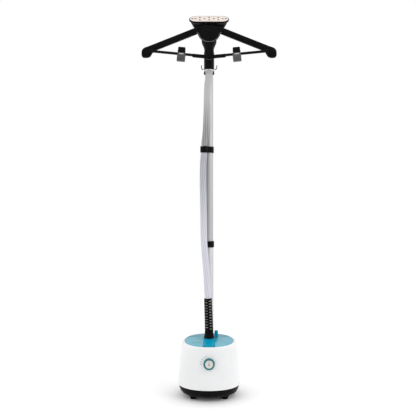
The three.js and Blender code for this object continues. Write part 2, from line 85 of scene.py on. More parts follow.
HOSE_LOWER_ROUTE = [
    (-4.2, 22, 328.8), (-6.5, 22, 372), (-9, 22.5, 418), (-12.5, 23.5, 460), (-16, 24.5, 502),
    (-18, 25.5, 531), (-18.8, 26.5, 566), (-19.4, 28, 622), (-20.4, 29.5, 679), (-21.3, 31, 735),
    (-21, 32.3, 791), (-19, 32.9, 819), (-17.4, 33, 837.8),
]
HOSE_UPPER_ROUTE = [
    (-16.4, 32.9, 862.4), (-14.6, 31.5, 882), (-12, 29.4, 903), (-9.5, 25.6, 945), (-8, 21.4, 988),
    (-7, 17.2, 1030), (-5.5, 13.4, 1072), (-2, 10.6, 1095), (-0.5, 10, 1110),
]


# ---- camera
CAMERA_DISTANCE = 2.0
CAMERA_HEIGHT = 0.686


def add_to_scene(name, data):
    thing = bpy.data.objects.new(name, data)
    bpy.context.scene.collection.objects.link(thing)
    return thing


def aim(thing, location, target):
    """Sets a camera or a light at a location, turned to face its target."""
    thing.location = location
    thing.rotation_mode = "QUATERNION"
    thing.rotation_quaternion = (Vector(target) - Vector(location)).to_track_quat("-Z", "Y")


def make_camera():
    data = bpy.data.cameras.new("camera")
    data.lens = 50
    data.sensor_width = 36
    data.shift_x = -0.0026
    data.shift_y = -0.0288
    camera = add_to_scene("camera", data)
    aim(camera, (0, -CAMERA_DISTANCE, CAMERA_HEIGHT), (0, 0, CAMERA_HEIGHT))
    bpy.context.scene.camera = camera


make_camera()


# ---- mesh helpers
def circle(sides):
    """The cosine and sine at equal steps round a full turn."""
    return [(math.cos(TURN * k / sides), math.sin(TURN * k / sides)) for k in range(sides)]


def arc(x, y, radius, start, end, step):
    """Points round a centre from start to end, in degrees."""
    angles = [a * RAD for a in range(start, end + 1, step)]
    return [(x + radius * math.cos(a), y + radius * math.sin(a)) for a in angles]


def add_object(name, mesh, sharp=35):
    mesh.shade_smooth()
    mesh.set_sharp_from_angle(angle=sharp * RAD)
    return add_to_scene(name, mesh)


def mesh_object(name, verts, faces, sharp=35):
    """A mesh from millimetres, welded, with its normals outwards. Edges over sharp degrees stay sharp."""
    mesh = bpy.data.meshes.new(name)
    mesh.from_pydata([tuple(c * MM for c in v) for v in verts], [], faces)
    work = bmesh.new()
    work.from_mesh(mesh)
    bmesh.ops.remove_doubles(work, verts=work.verts, dist=1e-7)
    bmesh.ops.recalc_face_normals(work, faces=work.faces)
    work.to_mesh(mesh)
    work.free()
    return add_object(name, mesh, sharp)


def tube_faces(rows, columns, closed, capped=False):
    """Quads between rings of vertices. closed joins the last ring to the first; capped shuts both ends."""
    faces = []
    for r in range(rows if closed else rows - 1):
        for c in range(columns):
            r2 = (r + 1) % rows
            c2 = (c + 1) % columns
            faces.append((r * columns + c, r * columns + c2, r2 * columns + c2, r2 * columns + c))
    if capped:
        faces.append(tuple(range(columns))[::-1])
        faces.append(tuple(range((rows - 1) * columns, rows * columns)))
    return faces


def smooth_rows(rows, steps):
    """Catmull-Rom through equal-length tuples, ends held."""
    out = []
    for i in range(len(rows) - 1):
        near = (rows[max(i - 1, 0)], rows[i], rows[i + 1], rows[min(i + 2, len(rows) - 1)])
        for k in range(steps):
            t = k / steps
            out.append(tuple(
                0.5 * (2 * b + (c - a) * t + (2 * a - 5 * b + 4 * c - d) * t * t
                       + (3 * b - a - 3 * c + d) * t ** 3)
                for a, b, c, d in zip(*near)
            ))
    out.append(rows[-1])
    return out


def smooth_path(points, step):
    """A smooth curve through points, as vectors at least step apart."""
    route = smooth_rows([tuple(map(float, p)) for p in points], 24)
    out = [Vector(route[0])]
    for p in route[1:]:
        if (Vector(p) - out[-1]).length >= step:
            out.append(Vector(p))
    out[-1] = Vector(route[-1])
    return out


def bezier(points, steps=10):
    out = []
    for k in range(steps + 1):
        t = k / steps
        level = [Vector(p) for p in points]
        while len(level) > 1:
            level = [a + (b - a) * t for a, b in zip(level, level[1:])]
        out.append((level[0].x, level[0].y))
    return out


def rounded_profile(points, radius=0.5, closed=True):
    """Rounds each corner of a profile with a short quadratic arc."""
    steps = 3
    out = []
    for i, corner in enumerate(points):
        if not closed and i in (0, len(points) - 1):
            out.append(corner)
            continue
        here = Vector(corner)
        before = Vector(points[i - 1]) - here
        after = Vector(points[(i + 1) % len(points)]) - here
        reach = min(radius, before.length * 0.45, after.length * 0.45)
        a = here + before.normalized() * reach
        b = here + after.normalized() * reach
        for k in range(steps + 1):
            t = k / steps
            p = a * (1 - t) ** 2 + here * 2 * t * (1 - t) + b * t * t
            out.append((p.x, p.y))
    return out


def ring_loft(name, rings, sides=96, closed=False, sharp=35):
    """rings: (z, across, along, power, y, tilt). A closed loop gives a wall, else the ends are capped."""
    verts = []
    for z, across, along, power, y, tilt in rings:
        for cosine, sine in circle(sides):
            reach = (abs(cosine) ** power + abs(sine) ** power) ** (-1 / power)
            v = along * sine * reach
            verts.append((across * cosine * reach, y + v * math.cos(tilt), z + v * math.sin(tilt)))
    return mesh_object(name, verts, tube_faces(len(rings), sides, closed, not closed), sharp)


def oval_rings(rows, power):
    return [(z, across, along, power, 0, 0) for z, across, along in rows]


def lathe(name, profile, x=0, y=0, sides=64, closed=False):
    """profile: (radius, z) up the outside, about the vertical axis through (x, y)."""
    verts = [(x + r * cosine, y + r * sine, z) for r, z in profile for cosine, sine in circle(sides)]
    return mesh_object(name, verts, tube_faces(len(profile), sides, closed))


def ribbed_lathe(name, rows, y, ribs, depth, sharpness):
    """rows: (z, radius, 1 on the ribbed part), a closed loop about the vertical axis at y."""
    sides = ribs * 8
    verts = []
    for z, radius, ribbed in rows:
        for k, (cosine, sine) in enumerate(circle(sides)):
            r = radius - ribbed * depth * (0.5 - 0.5 * math.cos(TURN * k / sides * ribs)) ** sharpness
            verts.append((r * cosine, y + r * sine, z))
    return mesh_object(name, verts, tube_faces(len(rows), sides, True), 40)


def sleeve(name, inner, outer, z0, z1, y, sides=72, edge=0.5):
    loop = rounded_profile([(inner, z0), (outer, z0), (outer, z1), (inner, z1)], edge)
    return lathe(name, loop, 0, y, sides, closed=True)


def post(radius, z0, z1, x=0, y=0, sides=64):
    """A plain upright cylinder to cut holes with."""
    return lathe("cutter", [(0, z0), (radius, z0), (radius, z1), (0, z1)], x, y, sides)


def rod_y(name, x, z, radius, y0, y1, sides=32, edge=0.4):
    """A short round piece along Y with rounded rims."""
    profile = rounded_profile([(0, y0), (radius, y0), (radius, y1), (0, y1)], edge, closed=False)
    verts = [(x + r * cosine, y, z + r * sine) for r, y in profile for cosine, sine in circle(sides)]
    return mesh_object(name, verts, tube_faces(len(profile), sides, False))


def slab(name, outline, low, high, place, edge, segments):
    """An outline made thick and its edges rounded. place turns a point and a depth into (x, y, z)."""
    count = len(outline)
    verts = [place(*point, depth) for depth in (low, high) for point in outline]
    faces = [tuple(range(count)), tuple(range(count, 2 * count))[::-1]]
    faces += [(i, i + count, (i + 1) % count + count, (i + 1) % count) for i in range(count)]
    piece = mesh_object(name, verts, faces)
    if edge:
        over = 40 * RAD
        modify(piece, "BEVEL", width=edge * MM, segments=segments, limit_method="ANGLE", angle_limit=over)
    return piece


def plate(name, outline, y0, y1, edge=0.8, segments=2):
    """An outline of (x, z) points in the front view, thick from y0 to y1."""
    return slab(name, outline, y0, y1, lambda x, z, y: (x, y, z), edge, segments)


def prism(name, outline, z0, z1, edge=0.0, segments=2):
    """An outline of (x, y) points seen from above, upright from z0 to z1."""
    return slab(name, outline, z0, z1, lambda x, y, z: (x, y, z), edge, segments)


def block(name, x0, x1, y0, y1, z0, z1, edge=1.0):
    return plate(name, [(x0, z0), (x1, z0), (x1, z1), (x0, z1)], y0, y1, edge, 3)


def swept(name, points, radius, sides=20):
    """A capped tube along points (mm), with UVs round and along it. radius is a number, or a function of the
    distance along."""
    verts, travelled = [], [0.0]
    for a, b in zip(points, points[1:]):
        travelled.append(travelled[-1] + (b - a).length)
    starts_along_x = abs((points[1] - points[0]).normalized().x) > 0.8
    side = Vector((0, 0, 1)) if starts_along_x else Vector((1, 0, 0))
    for i, p in enumerate(points):
        ahead = (points[min(i + 1, len(points) - 1)] - points[max(i - 1, 0)]).normalized()
        side = (side - ahead * side.dot(ahead)).normalized()
        up = ahead.cross(side)
        r = radius(travelled[i]) if callable(radius) else radius
        for cosine, sine in circle(sides):
            verts.append(tuple(c * MM for c in p + (side * cosine + up * sine) * r))
    mesh = bpy.data.meshes.new(name)
    mesh.from_pydata(verts, [], tube_faces(len(points), sides, False, True))
    layer = mesh.uv_layers.new(name="wrap")
    for face in mesh.polygons:
        ks = [mesh.loops[i].vertex_index % sides for i in face.loop_indices]
        wraps = len(ks) == 4 and max(ks) - min(ks) > 1
        for i, k in zip(face.loop_indices, ks):
            row = mesh.loops[i].vertex_index // sides
            layer.data[i].uv = ((k + sides if wraps and k == 0 else k) / sides, travelled[row] * MM)
    mesh.validate()
    return add_object(name, mesh, 60)


def modify(piece, kind, **settings):
    """Adds a modifier with these settings and applies it."""
    modifier = piece.modifiers.new(kind, kind)
    for key, value in settings.items():
        setattr(modifier, key, value)
    mesh = bpy.data.meshes.new_from_object(piece.evaluated_get(bpy.context.evaluated_depsgraph_get()))
    piece.modifiers.clear()
    piece.data = mesh
    mesh.shade_smooth()
    mesh.set_sharp_from_angle(angle=35 * RAD)


def combine(piece, operation, *tools):
    """A boolean of the piece with each tool, which is used up."""
    for tool in tools:
        modify(piece, "BOOLEAN", object=tool, operation=operation, solver="EXACT")
        bpy.data.objects.remove(tool)


def join_pieces(name, pieces):
    """One object from several that only touch."""
    mesh = bpy.data.meshes.new(name)
    work = bmesh.new()
    for piece in pieces:
        work.from_mesh(piece.data)
        bpy.data.objects.remove(piece)
    work.to_mesh(mesh)
    work.free()
    return add_object(name, mesh)


def turn(piece, angle, axis):
    piece.data.transform(Matrix.Rotation(angle, 4, axis))
    return piece


def shift(piece, x, y, z):
    piece.data.transform(Matrix.Translation((x * MM, y * MM, z * MM)))
    return piece


def mirror_x(piece, sign):
    if sign < 0:
        piece.data.transform(Matrix.Scale(-1, 4, (1, 0, 0)))
        piece.data.flip_normals()
    return piece


def slope_top(piece):
    """The top of the base falls towards the front, as in the CAD."""
    for v in piece.data.vertices:
        share = (v.co.z / MM - SLOPE_START) / (SLOPE_FULL - SLOPE_START)
        v.co.z += DECK_SLOPE * v.co.y * min(max(share, 0), 1)
    return piece


def dress(piece, body, finish, *nodes, slot=None):
    """Gives a piece its material and the body it rides on, and hides the CAD nodes that it stands for."""
    piece.data.materials.clear()
    piece.data.materials.append(finish.material)
    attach(piece, body)
    if nodes:
        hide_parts(*nodes)


# ---- materials
def add_node(tree, kind, sockets, **values):
    """A new shader node. sockets: each input's name or place, with a value or the output that feeds it."""
    node = tree.nodes.new("ShaderNode" + kind)
    for key, value in values.items():
        setattr(node, key, value)
    for socket, value in sockets.items():
        if isinstance(value, bpy.types.NodeSocket):
            tree.links.new(value, node.inputs[socket])
        else:
            node.inputs[socket].default_value = value
    return node


class Shader:
    """One Principled material built from procedural nodes, and the record's slot it belongs to, if any."""

    def __init__(self, name, slot, colour, roughness, metallic=0.0, coat=0.0, shine=0.5):
        self.slot = slot
        self.material = bpy.data.materials.new(name)
        self.material.use_nodes = True
        self.tree = self.material.node_tree
        self.base = self.tree.nodes["Principled BSDF"]
        self.base.inputs["Base Color"].default_value = (*colour, 1)
        self.base.inputs["Roughness"].default_value = roughness
        self.base.inputs["Metallic"].default_value = metallic
        self.base.inputs["Coat Weight"].default_value = coat
        self.base.inputs["Specular IOR Level"].default_value = shine
        self.coords = add_node(self.tree, "TexCoord", {})
        self.normal = None

    def drive(self, socket, source):
        self.tree.links.new(source, self.base.inputs[socket])

    def noise(self, scale, detail, stretch=(1, 1, 1)):
        mapping = add_node(self.tree, "Mapping", {"Vector": self.coords.outputs["Object"], "Scale": stretch})
        sockets = {"Vector": mapping.outputs["Vector"], "Scale": scale, "Detail": detail}
        return add_node(self.tree, "TexNoise", sockets).outputs["Fac"]

    def remap(self, value, low, high, from_low=0.3, from_high=0.7):
        span = {"From Min": from_low, "From Max": from_high, "To Min": low, "To Max": high}
        return add_node(self.tree, "MapRange", {"Value": value, **span}).outputs["Result"]

    def math(self, operation, *terms):
        return add_node(self.tree, "Math", dict(enumerate(terms)), operation=operation).outputs["Value"]

    def mix(self, factor, first, second):
        """first and second are colours, or outputs that carry one."""
        first, second = (c if isinstance(c, bpy.types.NodeSocket) else (*c, 1) for c in (first, second))
        sockets = {"Factor": factor, "A": first, "B": second}
        return add_node(self.tree, "Mix", sockets, data_type="RGBA").outputs["Result"]

    def bump(self, value, strength, distance):
        """Adds to the surface's relief; each call rides on the one before."""
        sockets = {"Height": value, "Strength": strength, "Distance": distance}
        if self.normal is not None:
            sockets["Normal"] = self.normal
        self.normal = add_node(self.tree, "Bump", sockets).outputs["Normal"]
        self.drive("Normal", self.normal)


def plastic(name, slot, dark, light, rough, grain, bump, coat=0.0, patch=18, shine=0.5):
    """Moulded plastic: faint cloudy colour, fine spark-eroded grain, slightly uneven gloss."""
    s = Shader(name, slot, light, rough[0], coat=coat, shine=shine)
    s.drive("Base Color", s.mix(s.remap(s.noise(patch, 3), 0, 1), dark, light))
    s.drive("Roughness", s.remap(s.noise(patch * 4, 5), *rough))
    s.bump(s.noise(grain, 3), bump, 0.0002)
    return s


def white_gloss():
    s = plastic("white_gloss", "white_shell", (0.76, 0.765, 0.77), (0.8, 0.805, 0.81),
                (0.12, 0.2), 260, 0.02, 0.2, 9, 0.35)
    s.bump(s.noise(14, 2), 0.03, 0.0006)
    return s


def tank_cyan():
    """Tinted clear plastic: a little light goes through, the rest is a cool grey cyan body colour."""
    s = Shader("tank_cyan", "tank_clear", (0.16, 0.4, 0.5), 0.2, coat=0.12, shine=0.25)
    s.drive("Base Color", s.mix(s.remap(s.noise(22, 3), 0, 1), (0.13, 0.42, 0.53), (0.18, 0.48, 0.59)))
    s.base.inputs["Transmission Weight"].default_value = 0.1
    s.base.inputs["IOR"].default_value = 1.46
    s.drive("Roughness", s.remap(s.noise(60, 4), 0.15, 0.25))
    s.bump(s.noise(40, 2), 0.04, 0.0004)
    return s


def pole_metal(name, dark, light):
    """Satin anodised tube: fine lines drawn along the pole and a few soft handling marks."""
    s = Shader(name, "pole_aluminium", light, 0.5, metallic=1.0)
    lines = s.noise(900, 3, stretch=(1, 1, 0.02))
    s.drive("Base Color", s.mix(s.remap(lines, 0, 1), dark, light))
    s.drive("Roughness", s.remap(s.noise(30, 5), 0.46, 0.56))
    s.bump(lines, 0.08, 0.0001)
    return s


def bright_metal():
    s = Shader("bright_metal", "steel", (0.7, 0.7, 0.72), 0.22, metallic=1.0)
    swirl = s.noise(400, 4)
    s.drive("Base Color", s.mix(s.remap(swirl, 0, 1), (0.62, 0.62, 0.64), (0.78, 0.78, 0.8)))
    s.drive("Roughness", s.remap(s.noise(90, 4), 0.18, 0.3))
    s.bump(swirl, 0.05, 0.0001)
    return s


def cast_metal():
    s = Shader("cast_metal", "boiler_aluminium", (0.5, 0.5, 0.5), 0.55, metallic=0.9)
    grain = s.noise(600, 6)
    s.drive("Base Color", s.mix(s.remap(grain, 0, 1), (0.4, 0.4, 0.41), (0.58, 0.58, 0.58)))
    s.bump(grain, 0.4, 0.0004)
    return s


FLECK_COLUMNS = 10
FLECK_PITCH = 0.0073
FLECK_TWIST = 1.1
FLECK_HALF_ROUND = 0.2
FLECK_HALF_ALONG = 0.34


def hose_weave(name, shade, pale, fleck_colour, fade):
    """Pale braided sleeve: an over-and-under weave with dark flecks in columns that twist slowly.
    fade is (start, end, least): the distances along in metres over which the flecks grow faint, and to what
    share."""
    s = Shader(name, "hose_weave", pale, 0.75, shine=0.25)
    uv = add_node(s.tree, "UVMap", {}, uv_map="wrap")
    split = add_node(s.tree, "SeparateXYZ", {"Vector": uv.outputs["UV"]})
    twist = s.math("MULTIPLY", split.outputs["Y"], FLECK_TWIST)
    turned = s.math("MULTIPLY", s.math("ADD", split.outputs["X"], twist), FLECK_COLUMNS)
    along = s.math("DIVIDE", split.outputs["Y"], FLECK_PITCH)

    def fleck(offset):
        """1 inside the ovals of every second column, with the pattern moved by a share of its pitch."""
        squares = []
        for place, half in ((s.math("MULTIPLY", turned, 0.5), FLECK_HALF_ROUND), (along, FLECK_HALF_ALONG)):
            centred = s.math("SUBTRACT", s.math("FRACT", s.math("ADD", place, offset)), 0.5)
            squares.append(s.math("POWER", s.math("DIVIDE", centred, half), 2))
        return s.math("LESS_THAN", s.math("ADD", *squares), 1.0)

    start, end, least = fade
    flecks = s.math("MAXIMUM", fleck(0.0), fleck(0.5))
    flecks = s.math("MULTIPLY", flecks, s.remap(split.outputs["Y"], 1.0, least, start, end))
    strands = [s.math("SINE", s.math("MULTIPLY", place, 6 * math.pi)) for place in (turned, along)]
    weave = s.math("MULTIPLY", *strands)
    s.drive("Base Color", s.mix(flecks, s.mix(s.remap(weave, 0, 1, -1, 1), shade, pale), fleck_colour))
    s.bump(weave, 0.4, 0.0004)
    return s


WHITE = white_gloss()
BLACK = plastic(
    "black_satin", "black_plastic", (0.002, 0.002, 0.0022), (0.004, 0.004, 0.0045),
    (0.3, 0.42), 1300, 0.12, shine=0.07,
)
CHARCOAL = plastic(
    "charcoal_grain", "charcoal_plastic", (0.002, 0.002, 0.0022), (0.005, 0.005, 0.0055),
    (0.36, 0.5), 1500, 0.2, patch=30, shine=0.07,
)
HEAD = plastic(
    "head_gloss", "dark_gloss", (0.003, 0.003, 0.004), (0.006, 0.006, 0.007),
    (0.14, 0.22), 500, 0.03, coat=0.12, shine=0.2,
)
RUBBER = plastic(
    "rubber_black", "rubber", (0.003, 0.003, 0.003), (0.006, 0.006, 0.006),
    (0.65, 0.8), 2200, 0.3, shine=0.1,
)
CYAN = plastic(
    "cyan_gloss", "cyan_plastic", (0.001, 0.25, 0.39), (0.002, 0.28, 0.43),
    (0.25, 0.35), 700, 0.05, shine=0.04,
)
TEAL = plastic(
    "dial_teal", "cyan_plastic", (0.02, 0.16, 0.19), (0.035, 0.19, 0.22),
    (0.25, 0.35), 700, 0.05, shine=0.2,
)
DIAL = plastic(
    "dial_cream", "cream_plate", (0.63, 0.6, 0.56), (0.69, 0.66, 0.62),
    (0.3, 0.4), 700, 0.05, shine=0.2,
)
SATIN = plastic(
    "satin_ring", "hose_cuff", (0.36, 0.36, 0.37), (0.42, 0.42, 0.43),
    (0.4, 0.5), 700, 0.1, shine=0.2,
)
CREAM = plastic(
    "cream_coating", "cream_plate", (0.72, 0.62, 0.56), (0.8, 0.71, 0.65),
    (0.3, 0.42), 800, 0.08, coat=0.2, patch=40,
)
# Grey plastic of the clips and hooks; on the hub cover's ridge and the tongue's lip it is a painted
# highlight.
CLIP_GREY_AND_HIGHLIGHT = plastic(
    "clip_grey_and_highlight", "grey_plastic", (0.05, 0.05, 0.052), (0.08, 0.08, 0.083),
    (0.3, 0.42), 900, 0.12,
)
SILICONE = plastic(
    "silicone_clear", "silicone", (0.5, 0.48, 0.44), (0.6, 0.58, 0.54),
    (0.4, 0.5), 900, 0.1,
)
PRINT = plastic(
    "printed_grey", "grey_plastic", (0.1, 0.105, 0.11), (0.15, 0.155, 0.16),
    (0.35, 0.45), 900, 0.05,
)
TANK = tank_cyan()
POLE = pole_metal("pole_metal", (0.57, 0.57, 0.58), (0.63, 0.63, 0.64))
# A darker copy of the pole metal for the upper tube: painted shade.
POLE_UPPER_SHADED = pole_metal("pole_metal_upper_shaded", (0.46, 0.46, 0.47), (0.52, 0.52, 0.53))
BRIGHT = bright_metal()
CAST = cast_metal()
# The hose below and above the pole's clip. The upper length is the same hose; its darker colour is painted
# shade.
HOSE_LOW = hose_weave("hose_weave_low", (0.66, 0.66, 0.74), (0.84, 0.84, 0.92), (0.012, 0.012, 0.02),
                      (0.42, 0.22, 0.45))
HOSE_HIGH_SHADED = hose_weave("hose_weave_high_shaded", (0.46, 0.46, 0.47), (0.54, 0.54, 0.55), (0.02, 0.02, 0.025),
                       (0.06, 0.17, 0.1))


# ---- hose
CORRUGATION = 0.25
CORRUGATION_PITCH = 3.65


def corrugated(distance):
    """The hose's radius at a distance along it, in mm."""
    return HOSE_RADIUS - CORRUGATION + CORRUGATION * math.cos(TURN * distance / CORRUGATION_PITCH)


def make_hoses():
    """The hose runs from the strain relief to the pole's clip, and on from the clip to the handle's cuff."""
    for name, route, ends, finish in (
        ("steam_hose_lower", HOSE_LOWER_ROUTE, ("root", "mast_top"), HOSE_LOW),
        # The upper length takes the hose colour darkened as painted shade.
        ("steam_hose_upper", HOSE_UPPER_ROUTE, ("mast_top", "handset"), HOSE_HIGH_SHADED),
    ):
        points = smooth_path(route, 0.9)
        hose = swept(name, points, corrugated, 32)
        hose.data.materials.append(finish.material)
        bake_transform(hose)
        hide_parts(name.replace("steam_", ""))


make_hoses()


# ---- base
# Rings of the oval parts are (height, half width, half depth).
TRAY_RINGS = [
    (12, 82.6, 69.8), (12.6, 85, 72), (16, 94, 79.6), (22, 99.2, 84), (31, 102.6, 87),
    (39.8, 104.1, 88.4), (40.6, 104.2, 88.5),
]
TRAY_SEAM_RINGS = [(40.8, 103.4, 87.8), (40.8, 101.6, 86), (48, 101.2, 85.6), (48.6, 100.4, 84.8)]
TRAY_INNER_RINGS = [(48.6, 99, 83.4), (40, 98.6, 83), (22, 92.6, 78.2), (14.6, 79, 67), (14.6, 2, 2)]
SHELL_RINGS = [
    (41, 104.6, 88.8), (41.4, 106.2, 90.2), (43.4, 106.9, 90.8), (45.6, 105.9, 89.9), (57, 106, 90),
    (85, 104.8, 89), (114, 102.9, 87.5), (141, 100.4, 85.4), (162, 97.9, 83.3), (171, 96.7, 82.3),
    (177, 95.4, 81.3), (181, 93.3, 80.2), (184, 90.6, 79),
]
LIP_RINGS = [(186, 87.6, 77.6), (187.2, 85.6, 76.9), (187.2, 84.4, 76.4), (186, 83.8, 76), (182, 83.6, 76.2)]
INNER_RINGS = [(170, 93.4, 79.3), (57, 103, 87), (41.2, 102.6, 86.7)]


def shell_power(z):
    """The shell is squarer low down and follows the lid's rounder oval at the top."""
    share = min(max((z - 176) / 11, 0), 1)
    return BASE_POWER + (LID_POWER + 0.05 - BASE_POWER) * share


def make_shell():
    outer = smooth_rows(SHELL_RINGS + LIP_RINGS, 3)
    rings = [(z, across, along, shell_power(z), 0, 0) for z, across, along in outer]
    rings += oval_rings(INNER_RINGS, BASE_POWER)
    shell = slope_top(ring_loft("white_body", rings, sides=192, closed=True, sharp=50))
    knob_hole = rod_y("knob_hole", 0, KNOB_Z, 6, -110, -60, edge=0)
    gland_hole = rod_y("gland_hole", 0, GLAND_Z, 7, 60, 110, edge=0)
    combine(shell, "DIFFERENCE", knob_hole, gland_hole)
    dress(shell, "root", WHITE, "body_shell")


def make_tray():
    rings = oval_rings(smooth_rows(TRAY_RINGS, 3) + TRAY_SEAM_RINGS + TRAY_INNER_RINGS, BASE_POWER)
    dress(ring_loft("black_tray", rings, sides=160), "root", BLACK, "base_tray")
    slots = []
    for side in (-1, 1):
        for i in range(6):
            outline = [(side * 18, -1.6), (side * 44, -1.6), (side * 44, 1.6), (side * 18, 1.6)]
            rib = turn(plate("vent_rib", outline, 0, 1, edge=0.3), math.pi / 2, "X")
            slots.append(shift(rib, 0, -20 + i * 8, 11.9))
    dress(join_pieces("underside_ribs", slots), "root", BLACK)


def make_feet():
    profile = [(0, 0), (8.4, 0), (9.4, 0.6), (10, 2), (12, 8.6), (14.6, 11.8), (0, 11.8)]
    for row, y in (("front", -42), ("rear", 42)):
        for side, x in (("left", -54), ("right", 54)):
            foot = lathe(f"foot_{row}_{side}_rubber", profile, x, y, sides=40)
            dress(foot, "root", RUBBER, f"foot_{row}_{side}")


def make_gland():
    """The mains inlet's grommet on the back: a flange, a ribbed nose and the hole for the cord."""
    profile = rounded_profile(
        [(3.4, 60), (3.4, 97.6), (5, 97.6), (5.3, 93.4), (10, 93.2), (10, 90.4), (6.6, 90.2), (6.6, 60)]
    )
    gland = turn(lathe("cord_grommet", profile, sides=40, closed=True), -math.pi / 2, "X")
    dress(shift(gland, 0, 0, GLAND_Z), "root", BLACK, "cord_gland")


# ---- tank and deck
SLOT_HALF = 34
SLOT_FRONT = -4
SLOT_GAP = 0.5


def slot_outline(half, front, back=90, steps=24):
    """The U-shaped opening at the back of the tank, seen from above."""
    points = [(half, back)]
    for k in range(steps + 1):
        angle = math.pi * k / steps
        points.append((half * math.cos(angle), front + half - half * math.sin(angle)))
    points.append((-half, back))
    return points


VALVE_X = -56
VALVE_Y = -5
VALVE_SPRING_RADIUS = 4.6
VALVE_SPRING_TURNS = 4
VALVE_SPRING_LOW = 108.2
VALVE_SPRING_HIGH = 118.8

TANK_RINGS = [
    (98, 76, 59), (101, 79, 62), (130, 79, 62), (158, 79, 62), (162, 80, 67), (166, 81.6, 74),
    (182, 81.8, 74.8), (184.6, 82, 74.9), (185.2, 83.2, 75.9), (186.6, 83.3, 76),
    (187.6, 82.6, 75.3), (188, 81.4, 74.1),
]
# The tank's lower part sits further back; it comes forward over this height, to the lid.
TANK_BACK = 10
TANK_STEP = 8
TANK_STEP_TOP = 166


def make_tank():
    rings = []
    for z, across, along in TANK_RINGS:
        back = TANK_BACK * min(max((TANK_STEP_TOP - z) / TANK_STEP, 0), 1)
        rings.append((z, across, along, LID_POWER, back, 0))
    tank = ring_loft("water_tank_clear", rings, sides=144)
    well = prism("tank_well", slot_outline(SLOT_HALF, SLOT_FRONT), 90, 200)
    finger = prism("finger_recess", [(-20.4, -12), (20.4, -12), (20.4, -78), (-20.4, -78)], 185.8, 200)
    combine(tank, "DIFFERENCE", well, finger)
    dress(slope_top(tank), "tank", TANK, "water_tank")


def make_valve_spring():
    """The wire coil that holds the tank's valve shut; it shortens as the plunger is pushed up."""
    steps = 24
    count = VALVE_SPRING_TURNS * steps
    points = []
    for k in range(count + 1):
        angle = TURN * k / steps
        height = VALVE_SPRING_LOW + (VALVE_SPRING_HIGH - VALVE_SPRING_LOW) * k / count
        x = VALVE_X + VALVE_SPRING_RADIUS * math.cos(angle)
        points.append(Vector((x, VALVE_Y + VALVE_SPRING_RADIUS * math.sin(angle), height)))
    spring = swept("valve_spring_wire", points, 0.6, 10)
    dress(spring, "tank", BRIGHT, "valve_spring")
    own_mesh(spring)


GROOVE_Z = 188.05


def make_tank_lines():
    """The dark groove of the hinge line and the two moulded lines near the back of the lid."""
    grooves = []
    for x0, x1, y in ((-62, -25, -30), (-70, -37, 44), (37, 70, 44)):
        route = [(x0, y, GROOVE_Z), ((x0 + x1) / 2, y - 2, GROOVE_Z), (x1, y, GROOVE_Z)]
        grooves.append(swept("groove", smooth_path(route, 1.5), 0.7, 8))
    dress(slope_top(join_pieces("tank_groove_lines", grooves)), "tank", PRINT)


def make_handle():
    """The saturated cyan tongue in the lid that the tank is lifted by, and the rib beside the slot."""
    outline = [(-20, 5), (20, 5), (20, -60), (16, -73.4), (-16, -73.4), (-20, -60)]
    handle = prism("tank_lift_handle", outline, 186.2, 188.9, 0.9, 3)
    combine(handle, "DIFFERENCE", prism("handle_well", slot_outline(SLOT_HALF, SLOT_FRONT), 180, 200))
    dress(slope_top(handle), "tank", CYAN, "tank_handle")
    route = [(25.4, 6, 188.8), (25, -1, 188.8), (23, -8, 188.8), (20, -14, 188.6)]
    rib = swept("latch_rib", smooth_path(route, 1), 2.1, 16)
    dress(slope_top(rib), "tank", CYAN)


def make_deck():
    """The fixed part of the top, inside the tank's slot, with the holes for the spigot and the pole."""
    rings = oval_rings([(176, 81.4, 74.4), (184.8, 82, 74.9), *TANK_RINGS[-3:]], LID_POWER)
    deck = ring_loft("deck_top", rings, sides=144)
    keep = prism("deck_keep", slot_outline(SLOT_HALF - SLOT_GAP, SLOT_FRONT + SLOT_GAP), 170, 200)
    combine(deck, "INTERSECT", keep)
    combine(deck, "DIFFERENCE", post(8, 170, 200, 0, HOSE_Y), post(17.4, 170, 200, 0, POLE_Y))
    dress(slope_top(deck), "root", TANK, "top_deck")


# ---- dial
def knob_place(piece):
    """From the knob's own frame, depth along +Z, to its place on the shell's front."""
    return shift(turn(piece, math.pi / 2 - KNOB_TILT, "X"), 0, KNOB_FRONT, KNOB_Z)


def make_knob():
    profile = rounded_profile([(13.5, 0.6), (18.8, 0.6), (18.8, 9.4), (17.6, 10.4), (13.6, 10.4)], 0.9)
    dress(knob_place(lathe("dial_ring", profile, sides=96, closed=True)), "knob", TEAL, "knob_ring")
    profile = rounded_profile([(0, 0.8), (13.2, 0.8), (13.2, 10.2), (12.6, 11), (0, 11)], closed=False)
    dress(knob_place(lathe("dial_face", profile, sides=72)), "knob", DIAL, "knob_face")
    pointer = join_pieces("dial_pointer", [
        prism("pointer_bar", [(-0.8, 5), (0.8, 5), (0.8, 12.4), (-0.8, 12.4)], 11, 11.35),
        prism("pointer_flag", [(-3.6, -4.4), (3.6, -4.4), (2.6, 2.6), (-2.6, 2.6)], 11, 11.3),
    ])
    dress(knob_place(pointer), "knob", SATIN, slot="grey_plastic")


def shell_front(x, z):
    """The y of the shell's front surface at a place on its upright part, seen from the front."""
    for low, high in zip(SHELL_RINGS, SHELL_RINGS[1:]):
        if low[0] <= z <= high[0]:
            t = (z - low[0]) / (high[0] - low[0])
            across = low[1] + (high[1] - low[1]) * t
            along = low[2] + (high[2] - low[2]) * t
    return -along * (1 - (abs(x) / across) ** BASE_POWER) ** (1 / BASE_POWER)


MARK_RADIUS = 26.5


